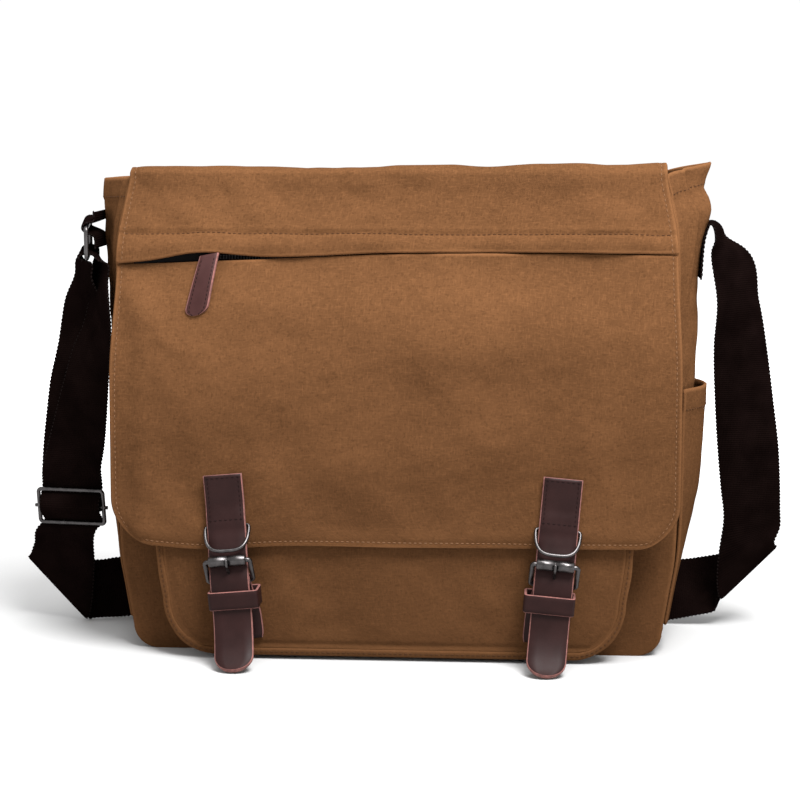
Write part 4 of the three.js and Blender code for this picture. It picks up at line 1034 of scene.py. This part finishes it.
tapeWall = keep(clothWall("zipTape", tapeGrid(), zipper["tape"], (0, 0, 230), [tapeCloth]), "zip_tape",
                "zip_tape")
toothLine = float(slide["foot"] + slide["height"] / 2)
teethX = np.linspace(zipper["place"] + 4, zipper["half"] - 3, 200)
teethPaths = [xyz(teethX, np.full(200, -(float(depthAt(z)) + zipper["standoff"] + 0.5)),
                  np.full(200, z)) for z in (toothLine - 0.7, toothLine + 0.7)]
pieceRow("zipTeeth", teethPaths, 1.7, 0.55, 0.8, toothMetal)


def zipSliderBody():
    outline = roundedOutline(slide["width"] / 2, slide["height"] / 2, 2.0)
    back = float(depthAt(slide["foot"])) + zipper["standoff"] + body["gap"]
    middle = slide["foot"] + slide["height"] / 2
    rings = []
    for part, size in [(0, 0.9), (0.2, 1), (0.75, 1), (0.93, 0.9), (1, 0.72)]:
        x = zipper["place"] + outline[:, 0] * size
        rings.append(xyz(x, -(back + part * slide["depth"]), middle + outline[:, 1] * size))
    return ringSolid("zipSlider", rings, False, np.array, metal)


keep(zipSliderBody(), "dark_metal", "zip_slider")


# A strap's rounded cross-section: shares across and heights, with the cut sides listed
def strapSection(thick, halfWidth, rounding=0.45):
    r = thick * rounding / 2
    half = thick / 2
    flat = 1 - r / halfWidth
    lower = [(-1, r - half), (-flat, -half), (-0.5, -half), (0, -half), (0.5, -half), (flat, -half),
             (1, r - half)]
    points = lower + [(-x, -z) for x, z in lower]
    return points, (5, 6, 7, 12, 13, 0)


def zipPullerStrap():
    front = (float(depthAt(slide["foot"])) + zipper["standoff"] + slide["depth"] + 2 * body["gap"]
             + puller["thick"] / 2)
    lowX = zipper["place"] - puller["length"] * puller["lean"]
    lowZ = puller["top"] - puller["length"]
    lowDepth = float(flapFrontDepth(lowX, lowZ)) + 2 * body["gap"] + puller["thick"] / 2 + 0.5
    part = np.concatenate([np.linspace(0, 0.84, 26),
                           0.85 + 0.15 * np.sin(np.linspace(0, math.pi / 2, 14))])
    rounded = np.where(part > 0.85, np.sqrt(np.maximum(1 - ((part - 0.85) / 0.1505) ** 2, 0.0)), 1)
    width = lerp(puller["topWidth"], puller["width"], part) * np.maximum(rounded, 0.12)
    bow = np.sin(math.pi * part) * 1.6
    centres = xyz(lerp(zipper["place"], lowX, part), -lerp(front, lowDepth, part) - bow,
                  lerp(puller["top"], lowZ, part))
    across = xyz(width / 2, 0 * width, width / 2 * puller["lean"])
    section, raw = strapSection(puller["thick"], 5)
    made = sweep("zipPuller", centres, across, section, [litPullerLeather, leatherEdge], raw=raw)
    face = unit(np.cross(np.gradient(centres, axis=0), across))
    face *= np.sign(-face[:, 1:2])
    seam = []
    for sideways in (-0.66, 0.66):
        seam.append((centres + across * sideways + face * (puller["thick"] / 2 + 0.05))[3:-4])
    return made, seam


pullerMesh, pullerSeams = zipPullerStrap()
keep(pullerMesh, "leather", "zip_puller")
pieceRow("pullerStitches", pullerSeams, 2.4, 0.85, 0.26, leatherThread)
print("flap and zip made")

# The closures, built upright and then leaned about their sewn tops
closure = {"place": 97.7, "top": 110.0, "width": 22.5, "lean": 0.087, "tipForward": 17.0, "dRing": 80.0,
           "roller": 62.0, "rollerRadius": 3.1, "bore": 1.8, "rollerLength": 21.5, "hinge": 49.0,
           "hingeForward": 72.0, "frameRise": 6.7, "frameHalf": 13.0, "wire": 1.4, "keeperHigh": 10.5,
           "keeperTop": 44.3, "keeperWall": 1.5, "anchorFoot": 12.0, "anchorShift": 3.0, "prong": 0.8,
           "leather": 2.6, "thin": 2.0}
dRing = {"half": 12.8, "wire": 1.0, "drop": 12.0, "forward": 12.2}


def flapFace(z):
    return float(flapFrontDepth(closure["place"] - 0.7 * closure["width"], z)) + body["gap"] + 0.1


ringBar = flapFace(closure["dRing"]) + dRing["wire"] + 0.2
hingeLoop = closure["wire"] + body["gap"] + closure["thin"] / 2
strapRun = (closure["hingeForward"] + hingeLoop + closure["thin"] / 2 + body["gap"]
            + closure["leather"] / 2)
rollerDepth = closure["hingeForward"] + closure["frameRise"]
behindRoller = rollerDepth - closure["rollerRadius"] - body["gap"] - closure["leather"] / 2


def leaned(side):
    def place(points):
        points = np.array(points, float)
        x = points[..., 0] * (-1 if side > 0 else 1)
        z = points[..., 2] - closure["top"]
        angle = side * closure["lean"]
        out = points.copy()
        out[..., 0] = x * math.cos(angle) + z * math.sin(angle) + side * closure["place"]
        out[..., 2] = -x * math.sin(angle) + z * math.cos(angle) + closure["top"]
        return out
    return place


def leanedWay(side, vectors):
    place = leaned(side)
    return place(vectors) - place(np.zeros_like(np.asarray(vectors, float)))


def leanedBand(name, side, centres, across, thick, width, closed=False):
    section, raw = strapSection(thick, width / 2)
    return sweep(name, leaned(side)(centres), leanedWay(side, across), section,
                 [leather, leatherEdge], closed=closed, raw=raw)


def leanedWire(name, side, path, radius, way, closed=True):
    return wire(name, leaned(side)(path), radius, leanedWay(side, way), metal, closed=closed)


def closureStrap(side, name):
    half = closure["leather"] / 2
    over = ringBar + dRing["wire"] + body["gap"] + half
    sewn = [(flapFace(z) + half, z) for z in (closure["top"], 100)] + [(flapFace(92) + half + 0.4, 92)]
    rows = sewn + [(over - 0.7, 86), (over, 82), (over + 0.2, 78.5),
                   (lerp(over, behindRoller, 0.45), 72),
                   (behindRoller, closure["roller"] + 2), (behindRoller, closure["roller"] - 1),
                   (lerp(behindRoller, strapRun, 0.5), 55.5), (strapRun, closure["hinge"] + 1),
                   (strapRun + 0.3, 44.5), (strapRun + 0.3, 39), (strapRun + 0.4, 33)]
    tip = strapRun + closure["tipForward"]
    rows += [(lerp(strapRun + 0.4, tip, part), z) for part, z in
             ((0.1, 24), (0.3, 15.5), (0.56, 8.4), (0.72, 5.3), (0.85, 3.3), (0.94, 2.2), (1, 1.6))]
    path = throughPoints(np.array(rows), 6)
    run = runAlong(path)
    left = run[-1] - run
    tipRound = 10.0
    narrow = np.where(left < tipRound, np.sqrt(np.maximum(1 - (1 - left / tipRound) ** 2, 0.02)), 1)
    centres = xyz(0 * run, -path[:, 0], path[:, 1])
    across = xyz(closure["width"] / 2 * narrow, 0 * run, 0 * run)
    made = leanedBand(f"{name}ClosureStrap", side, centres, across, closure["leather"], closure["width"])
    place = leaned(side)
    face = unit(np.cross(np.gradient(centres, axis=0), across))
    face *= np.sign(-face[:, 1:2])
    upper = np.where(path[:, 1] > 84)[0]
    seams = []
    surface = centres + face * (half + 0.06)
    for sideways in (-0.8, 0.8):
        seams.append(place(surface[upper[1:]] + across[upper[1:]] * sideways))
    for index in (upper[1], upper[-1]):
        seams.append(place(surface[index] + np.outer(np.linspace(-0.8, 0.8, 12), across[index])))
    pieceRow(f"{name}ClosureStitches", seams, **closureSeam, material=leatherThread)
    return made


def closureRing(side, name):
    length = math.hypot(dRing["drop"], dRing["forward"])
    angle = math.pi * (np.arange(40) + 0.8) / 40.6
    bow = np.stack([dRing["half"] * np.sign(np.cos(angle)) * np.abs(np.cos(angle)) ** 0.6,
                    length * np.sin(angle) ** 0.75], axis=-1)
    near = dRing["half"] - 1.3
    bar = [(-dRing["half"] + 0.3, 0.6), (-near, 0), (-near / 2, 0), (0, 0), (near / 2, 0), (near, 0),
           (dRing["half"] - 0.3, 0.6)]
    outline = np.concatenate([bow, bar])
    along = np.array([0, -dRing["forward"], -dRing["drop"]]) / length
    off = np.cross([1.0, 0, 0], along)
    path = np.array([0, -ringBar, closure["dRing"]]) + np.outer(outline[:, 0], [1, 0, 0])
    path = path + np.outer(outline[:, 1], along)
    return leanedWire(f"{name}DRing", side, path, dRing["wire"], off)


def closureFrame(side, name):
    rise = closure["roller"] - closure["hinge"]
    height = math.hypot(closure["frameRise"], rise)
    outline = roundedOutline(closure["frameHalf"], height / 2, 1.6)
    along = np.array([0, -closure["frameRise"], rise]) / height
    off = np.cross([1.0, 0, 0], along)
    hinge = np.array([0, -closure["hingeForward"], closure["hinge"]])
    path = hinge + np.outer(outline[:, 0], [1, 0, 0]) + np.outer(outline[:, 1] + height / 2, along)
    return leanedWire(f"{name}BuckleFrame", side, path, closure["wire"], off)


def closureRoller(side, name):
    half = closure["rollerLength"] / 2
    inner, outer = closure["bore"], closure["rollerRadius"]
    profile = [(inner, -half), (outer - 0.5, -half), (outer, -half + 0.5), (outer, -0.25),
               (outer - 0.2, -0.12), (outer - 0.2, 0.12), (outer, 0.25), (outer, half - 0.5),
               (outer - 0.5, half), (inner, half)]
    rings = [[(x, -(rollerDepth + r * math.cos(a)), closure["roller"] + r * math.sin(a))
              for r, x in profile] for a in np.radians(np.arange(0, 360, 12))]
    return ringSolid(f"{name}Roller", rings, True, leaned(side), metal)


def closureProng(side, name):
    curl = closure["wire"] + body["gap"] + closure["prong"]
    eye = np.radians(np.linspace(25, -283, 24))
    around = np.stack([closure["hingeForward"] + curl * np.cos(eye),
                       closure["hinge"] + curl * np.sin(eye)], axis=-1)
    rest = closure["rollerRadius"] + body["gap"] + closure["prong"]
    over = np.radians(np.linspace(230, 160, 9))
    tip = np.stack([rollerDepth - rest * np.cos(over), closure["roller"] + rest * np.sin(over)],
                   axis=-1)
    path = np.concatenate([around, [[closure["hingeForward"] + 2.6, closure["hinge"] + 3.1]], tip])
    points = xyz(0 * path[:, 0], -path[:, 0], path[:, 1])
    return leanedWire(f"{name}Prong", side, points, closure["prong"], np.array([1.0, 0, 0]), closed=False)


def anchorDepth(z):
    x = closure["place"] - closure["width"]
    start = float(pocketPlane(z) + pocketSwell(x, z)) + body["gap"] + closure["thin"] / 2 + 0.1
    return lerp(start, closure["hingeForward"] - hingeLoop, smooth((z - 17) / (closure["hinge"] - 20)))


def anchorStrap(side, name):
    heights = np.linspace(closure["anchorFoot"], closure["hinge"] - 2, 16)
    rise = [(anchorDepth(z), z, closure["anchorShift"] * smooth((z - 4) / 12)
             * smooth((closure["hinge"] - z) / 22)) for z in heights]
    fold = [(closure["hingeForward"] + hingeLoop * math.cos(a),
             closure["hinge"] + hingeLoop * math.sin(a), 0)
            for a in np.radians(np.linspace(180, 0, 16))]
    front = [(closure["hingeForward"] + hingeLoop, closure["hinge"] - 2.5, 0)]
    rows = np.array(rise + fold + front, float)
    centres = xyz(rows[:, 2], -rows[:, 0], rows[:, 1])
    across = np.tile([closure["width"] / 2, 0, 0], (len(rows), 1))
    return leanedBand(f"{name}Anchor", side, centres, across, closure["thin"], closure["width"])


# A flat leather band round the strap, its two cut edges paler
def keeperBand(side, name):
    bottom = closure["keeperTop"] - closure["keeperHigh"]
    back = anchorDepth(bottom) - closure["thin"] / 2 - body["gap"]
    front = strapRun + 0.4 + closure["leather"] / 2 + body["gap"]
    wide = closure["width"] / 2 + body["gap"] + closure["anchorShift"] * 0.5
    outline = roundedOutline(wide + closure["keeperWall"] / 2,
                             (front - back) / 2 + closure["keeperWall"] / 2, 1.8)
    middle = np.array([closure["anchorShift"] * 0.45, -(front + back) / 2,
                       bottom + closure["keeperHigh"] / 2])
    path = middle + xyz(outline[:, 0], outline[:, 1], 0 * outline[:, 0])
    across = np.tile([0, 0, closure["keeperHigh"] / 2], (len(path), 1))
    return leanedBand(f"{name}Keeper", side, path, across, closure["keeperWall"], closure["keeperHigh"],
                      closed=True)


# Each closure's pieces: how each is made, its slot and the end of its node's name
closurePieces = [
    (closureStrap, "leather", "closure_strap"), (closureRing, "dark_metal", "d_ring"),
    (closureFrame, "dark_metal", "buckle_frame"), (closureRoller, "dark_metal", "buckle_roller"),
    (closureProng, "dark_metal", "buckle_prong"), (anchorStrap, "leather", "anchor_strap"),
    (keeperBand, "leather", "keeper"),
]
for side, name in ((-1, "left"), (1, "right")):
    for make, slot, node in closurePieces:
        keep(make(side, name), slot, f"{name}_{node}")
print("closures made")

# The shoulder strap: rows of out, back and up as shares, the way its width faces, and its span
strap = {"width": 38.0, "thick": 1.5, "reach": 50.0, "setBack": 44.0, "hang": 250.0, "sewnLow": 220.0,
         "sewnHigh": 243.0, "tab": 36.0, "tabForward": 6.0}
ring = {"half": 20.8, "high": 8.8, "wire": 1.4, "corner": 1.9, "slack": 2.4}
adjuster = {"half": 20.8, "high": 10.6, "wire": 1.25, "bar": 1.1, "corner": 2.0, "barReach": 23.4}
rightHang = [
    (0.61, 0.09, 0.944, (0.56, 0.83, 0), 1), (0.75, 0.14, 0.816, (0.7, 0.71, 0), 1),
    (0.79, 0.23, 0.716, (0.85, 0.53, 0), 1), (0.86, 0.34, 0.58, (0.93, 0.36, 0), 1),
    (0.93, 0.42, 0.456, (0.97, 0.24, 0), 1), (0.98, 0.56, 0.36, (0.97, 0.3, 0), 1),
    (1.02, 0.7, 0.28, (0.93, 0.37, 0), 1), (0.994, 0.85, 0.139, (0.714, 0.107, 0.692), 1.23),
    (1.016, 0.9, 0.135, (0.714, 0.107, 0.692), 1.23),
    (0.994, 0.943, 0.139, (0.714, 0.107, 0.692), 1.23),
    (0.72, 1.07, 0.106, (0.3, 0.45, 0.84), 1.05), (0.4, 1.114, 0.09, (0, 0.57, 0.82), 1),
    (-0.26, 1.023, 0.0792, (0, 0.15, 0.99), 1), (-1.26, 1, 0.078, (0, 0, 1), 1),
    (-3.26, 1, 0.078, (0, 0, 1), 1),
]
leftRise = [
    (-1.26, 1, 0.078, (0, 0, 1), 1), (-0.26, 0.982, 0.078, (0, 0, 1), 1),
    (0.04, 0.92, 0.078, (0, 0, 1), 1),
    (0.34, 0.773, 0.078, (0, 0, 1), 1), (0.68, 0.625, 0.078, (0, 0, 1), 1),
    (1.06, 0.614, 0.086, (-0.679, 0, 0.736), 1.4), (1.082, 0.58, 0.082, (-0.679, 0, 0.736), 1.4),
    (1.06, 0.545, 0.086, (-0.679, 0, 0.736), 1.4), (0.95, 0.4, 0.17, (-0.92, 0.1, 0.37), 1.08),
    (0.87, 0.25, 0.248, (-0.985, 0.17, 0), 1),
]
leftFront = [
    (0.77, 0.05, 0.392, (-0.98, 0.2, 0), 1), (0.692, -0.027, 0.456, (-0.96, 0.27, 0), 1),
    (0.59, -0.18, 0.536, (-0.91, 0.42, 0), 1), (0.49, -0.31, 0.624, (-0.82, 0.57, 0), 1),
    (0.38, -0.44, 0.712, (-0.71, 0.71, 0), 1), (0.3, -0.54, 0.76, (-0.6, 0.8, 0), 1),
    (0.26, -0.6, 0.816, (-0.5, 0.866, 0), 1), (0.27, -0.5, 0.872, (-0.45, 0.89, 0), 1),
    (0.26, -0.43, 0.912, (-0.42, 0.9, 0), 1),
]
leftBack = [
    (0.5, -0.26, 0.915, (-0.42, 0.9, 0), 1),
    (0.51, -0.24, 0.88, (-0.45, 0.89, 0), 1), (0.53, -0.136, 0.816, (-0.74, 0.67, 0), 1),
    (0.54, -0.09, 0.76, (-0.85, 0.53, 0), 1), (0.55, -0.09, 0.72, (-0.89, 0.45, 0), 1),
    (0.65, -0.034, 0.62, (-0.94, 0.34, 0), 1), (0.71, 0.04, 0.536, (-0.96, 0.27, 0), 1),
    (0.76, 0.1, 0.456, (-0.975, 0.22, 0), 1), (0.784, 0.15, 0.392, (-0.985, 0.17, 0), 1),
]


def strapPlace(side, out, back, up):
    return np.array([side * (body["halfWidth"] + strap["reach"] * out), strap["setBack"] * back,
                     strap["hang"] * up])


def strapStations(side, rows):
    return [(strapPlace(side, out, back, up), unit(np.array(across, float)) * strap["width"] / 2 * span)
            for out, back, up, across, span in rows]


# A right-handed frame: the point at a across, b up and c out of its plane
def frameAt(centre, across, up):
    u = unit(np.array(across, float))
    up = np.array(up, float)
    v = unit(up - u * np.dot(up, u))
    w = np.cross(v, u)
    return u, v, w, lambda a, b, c: np.asarray(centre) + u * a + v * b + w * c


ringAxes = frameAt(strapPlace(-1, 0.43, -0.3, 0.967), (-0.16, 0.98, 0.08), (0, 0, 1))
sliderAxes = frameAt(strapPlace(-1, 0.8, 0.17, 0.304), (-0.99, 0.14, 0), (-0.02, -0.14, 0.99))


def threaded(axes, rows):
    return [(axes[3](0, v, w), axes[0] * strap["width"] / 2) for v, w in rows]


def strapPath():
    half = strap["thick"] / 2
    wrap = ring["wire"] + body["gap"] + half
    barWrap = adjuster["bar"] + body["gap"] + half
    over = barWrap + half + body["gap"] + half
    behind = adjuster["wire"] + body["gap"] + half + 0.3
    under = behind + half + body["gap"] + half + 0.1
    straight = np.array([0, strap["width"] / 2, 0])
    sewn = []
    for z in np.linspace(strap["sewnLow"], strap["sewnHigh"], 5):
        sewn.append((gussetFace(1, z, 0.0) + np.array([body["gap"] + half + 0.2, 0, 0]), straight))
    top = gussetFace(1, strap["sewnHigh"], 0.0)
    places = [(2.6, 0, 3.4), (4.4, 0.2, 5.2), (7, 0.6, 5), (9.6, 1.2, 2), (11.4, 2.3, -4)]
    arch = [(top + np.array(place), unit(np.array([0.06 * i, 1, 0])) * strap["width"] / 2)
            for i, place in enumerate(places)]
    through = [(-10.4, -behind), (-5, 1.3), (-1, over), (1.2, over), (4.5, 2.5), (10.2, -behind)]
    loop = [(-ring["high"] + wrap * math.sin(a), (wrap + ring["slack"]) * math.cos(a))
            for a in np.radians(np.arange(180, -1, -30))]
    back = [(14, -under - 0.3), (10, -under), (5, -3.4), (1.5, -barWrap - 0.1), (-1.1, -barWrap * 0.86),
            (-barWrap * 0.86, -1.1), (-barWrap * 0.86, 1.1), (-1.1, barWrap * 0.86), (0.8, barWrap)]
    stations = sewn + arch + strapStations(1, rightHang) + strapStations(-1, leftRise)
    stations += threaded(sliderAxes, through) + strapStations(-1, leftFront)
    stations += threaded(ringAxes, loop) + strapStations(-1, leftBack) + threaded(sliderAxes, back)
    rows = np.array([np.concatenate(station) for station in stations])
    path = throughPoints(rows, spacing=2.5, measured=3)
    span = throughPoints(np.column_stack([rows[:, :3], np.linalg.norm(rows[:, 3:], axis=1)]),
                         spacing=2.5, measured=3)
    return path[:, :3], unit(path[:, 3:]) * span[:, 3:]


# A woven band's cross-section, thinner at its edges
def webSection(thick):
    half = thick / 2
    upper = [(-1, 0.35), (-0.94, 0.9), (-0.5, 1), (0, 1), (0.5, 1), (0.94, 0.9), (1, 0.35)]
    lower = [(x, -y) for x, y in reversed(upper)]
    return [(x, y * half) for x, y in upper + lower]


def picots(name, centres, across):
    paths = [centres + across * sideways for sideways in (-0.995, 0.995)]
    pieceRow(name, paths, 2.4, 0.95, 0.62, webThread)


strapCentres, strapAcross = strapPath()
keep(sweep("shoulderStrap", strapCentres, strapAcross, webSection(strap["thick"]), [webbing]),
     "webbing", "shoulder_strap")
picots("strapPicots", strapCentres, strapAcross)


def tabPath():
    half = strap["thick"] / 2
    lift = body["gap"] + half + 0.2

    def sewn(z):
        place = gussetFace(-1, z, 0.0) + np.array([-lift, -strap["tabForward"], 0])
        return place, np.array([0, strap["tab"] / 2, 0])

    wrap = ring["wire"] + body["gap"] + half
    bridge = [(ringAxes[3](0, ring["high"] + wrap * math.sin(a), wrap * math.cos(a)),
               ringAxes[0] * strap["tab"] / 2) for a in np.radians([65, 35, 0, -35, -60])]
    stations = [sewn(z) for z in (259.5, 257.5, 255)] + bridge + [sewn(z) for z in (243, 240, 237.5)]
    rows = np.array([np.concatenate(station) for station in stations])
    path = throughPoints(rows, spacing=1.2, measured=3)
    return path[:, :3], path[:, 3:]


tabCentres, tabAcross = tabPath()
keep(sweep("strapTab", tabCentres, tabAcross, webSection(strap["thick"]), [webbing]), "webbing",
     "strap_tab")
picots("tabPicots", tabCentres, tabAcross)


def wireFrame(name, axes, size):
    outline = roundedOutline(size["half"], size["high"], size["corner"])
    path = np.array([axes[3](a, b, 0) for a, b in outline])
    return wire(name, path, size["wire"], axes[2], metal)


keep(wireFrame("strapRing", ringAxes, ring), "dark_metal", "strap_ring")
keep(wireFrame("strapSliderFrame", sliderAxes, adjuster), "dark_metal", "strap_slider")
barSteps = np.linspace(-adjuster["barReach"], adjuster["barReach"], 12)
barPath = np.array([sliderAxes[3](a, 0, 0) for a in barSteps])
keep(wire("strapSliderBar", barPath, adjuster["bar"], sliderAxes[2], metal, closed=False), "dark_metal")


# Stitches through the strap's sewn end and the tab
def bandStitches(centres, across, first, last, face):
    rows = range(first, last)
    paths = [centres[first:last] + across[first:last] * sideways + face[first:last]
             for sideways in (-0.86, 0.86)]
    shares = np.linspace(-0.86, 0.86, 14)
    for index in (rows[0], rows[-1]):
        paths.append(centres[index] + np.outer(shares, across[index]) + face[index])
    return paths


def bandFace(centres, across, height, way):
    face = unit(np.cross(np.gradient(centres, axis=0), across)) * height
    return face * np.sign(np.sum(face * np.array(way, float), axis=-1, keepdims=True))


strapFace = bandFace(strapCentres[:14], strapAcross[:14], strap["thick"] / 2 + 0.1, (1, 0, 0))
pieceRow("strapStitches", bandStitches(strapCentres[:14], strapAcross[:14], 1, 13, strapFace),
         **webSeam, material=webThread)
tabFace = bandFace(tabCentres, tabAcross, strap["thick"] / 2 + 0.1, (-1, -0.6, 0))
tabRows = bandStitches(tabCentres, tabAcross, 1, 5, tabFace)
tabRows += bandStitches(tabCentres, tabAcross, len(tabCentres) - 6, len(tabCentres) - 1, tabFace)
pieceRow("tabStitches", tabRows, **webSeam, material=webThread)
print("strap made")


# Stitches of the body: the pocket's rim, the side pockets' hems and the walls' top hems
def rimStitches():
    z, x = bothSides(*pocketOutline(pocket["rim"] / 2))
    depth = pocketPlane(z) + pocket["lip"] + 0.1
    return xyz(x, -depth, z)


pieceRow("rimStitches", [rimStitches()], **seam, material=thread)


def hemStitches(grid, side, row):
    return grid[row, 1:-1] + np.array([side * 0.12, 0, 0])


hems = [hemStitches(sidePocketGrid(side), side, 5) for side in (-1, 1)]
hems += [gussetWall[row, 2:-2] + np.array([side * 0.12, 0, 0]) for side, row in ((-1, 5), (1, -6))]
pieceRow("hemStitches", hems, **seam, material=thread)
print("stitches made")

# Floor, lights and camera
scene = bpy.context.scene


def makeFloor():
    mesh = bpy.data.meshes.new("floor")
    mesh.from_pydata([(-4, -4, 0), (4, -4, 0), (4, 4, 0), (-4, 4, 0)], [], [(0, 1, 2, 3)])
    floor = bpy.data.objects.new("floor", mesh)
    scene.collection.objects.link(floor)
    shader = Shader("floor", (0.6, 0.6, 0.6), 0.9, Specular_IOR_Level=0.1)
    # Paler far off and darker near the bag: painted shade that deepens the shadows around the bag and
    # dims the light the floor throws back onto it
    away = shader.nodes.new("ShaderNodeVectorMath")
    away.operation = "LENGTH"
    shader.links.new(shader.place, away.inputs[0])
    far = shader.spread(away.outputs["Value"], 0.45, 1.0)
    shader.set("Base Color", shader.mix(far, (0.42, 0.42, 0.42), (0.99, 0.99, 0.99)))
    mesh.materials.append(shader.material)


def makeLight(name, place, size, energy, target=(0, 0, 0.13)):
    light = bpy.data.lights.new(name, "AREA")
    light.shape = "DISK"
    light.size = size
    light.energy = energy
    lamp = bpy.data.objects.new(name, light)
    lamp.location = place
    lamp.rotation_euler = (Vector(target) - Vector(place)).to_track_quat("-Z", "Y").to_euler()
    scene.collection.objects.link(lamp)


makeFloor()
makeLight("key", (0.56, -0.9, 1.7), size=0.8, energy=70)
makeLight("top", (0.1, -0.35, 1.9), size=1.0, energy=32)
world = bpy.data.worlds.new("studio")
scene.world = world
world.use_nodes = True
world.node_tree.nodes["Background"].inputs["Color"].default_value = (1, 1, 1, 1)
world.node_tree.nodes["Background"].inputs["Strength"].default_value = 1.02
scene.view_settings.view_transform = "Standard"

camera = bpy.data.cameras.new("camera")
camera.lens = 93.75
camera.sensor_width = 36
camera.clip_start = 0.05
camera.clip_end = 30
eye = bpy.data.objects.new("camera", camera)
target = Vector((0, 0, 0.145))
azimuth, elevation, distance = math.radians(4), math.radians(8), 1.25
away = Vector((math.sin(azimuth) * math.cos(elevation), -math.cos(azimuth) * math.cos(elevation),
               math.sin(elevation)))
eye.location = target + away * distance
eye.rotation_euler = (-away).to_track_quat("-Z", "Y").to_euler()
scene.collection.objects.link(eye)
scene.camera = eye

print("scene made")
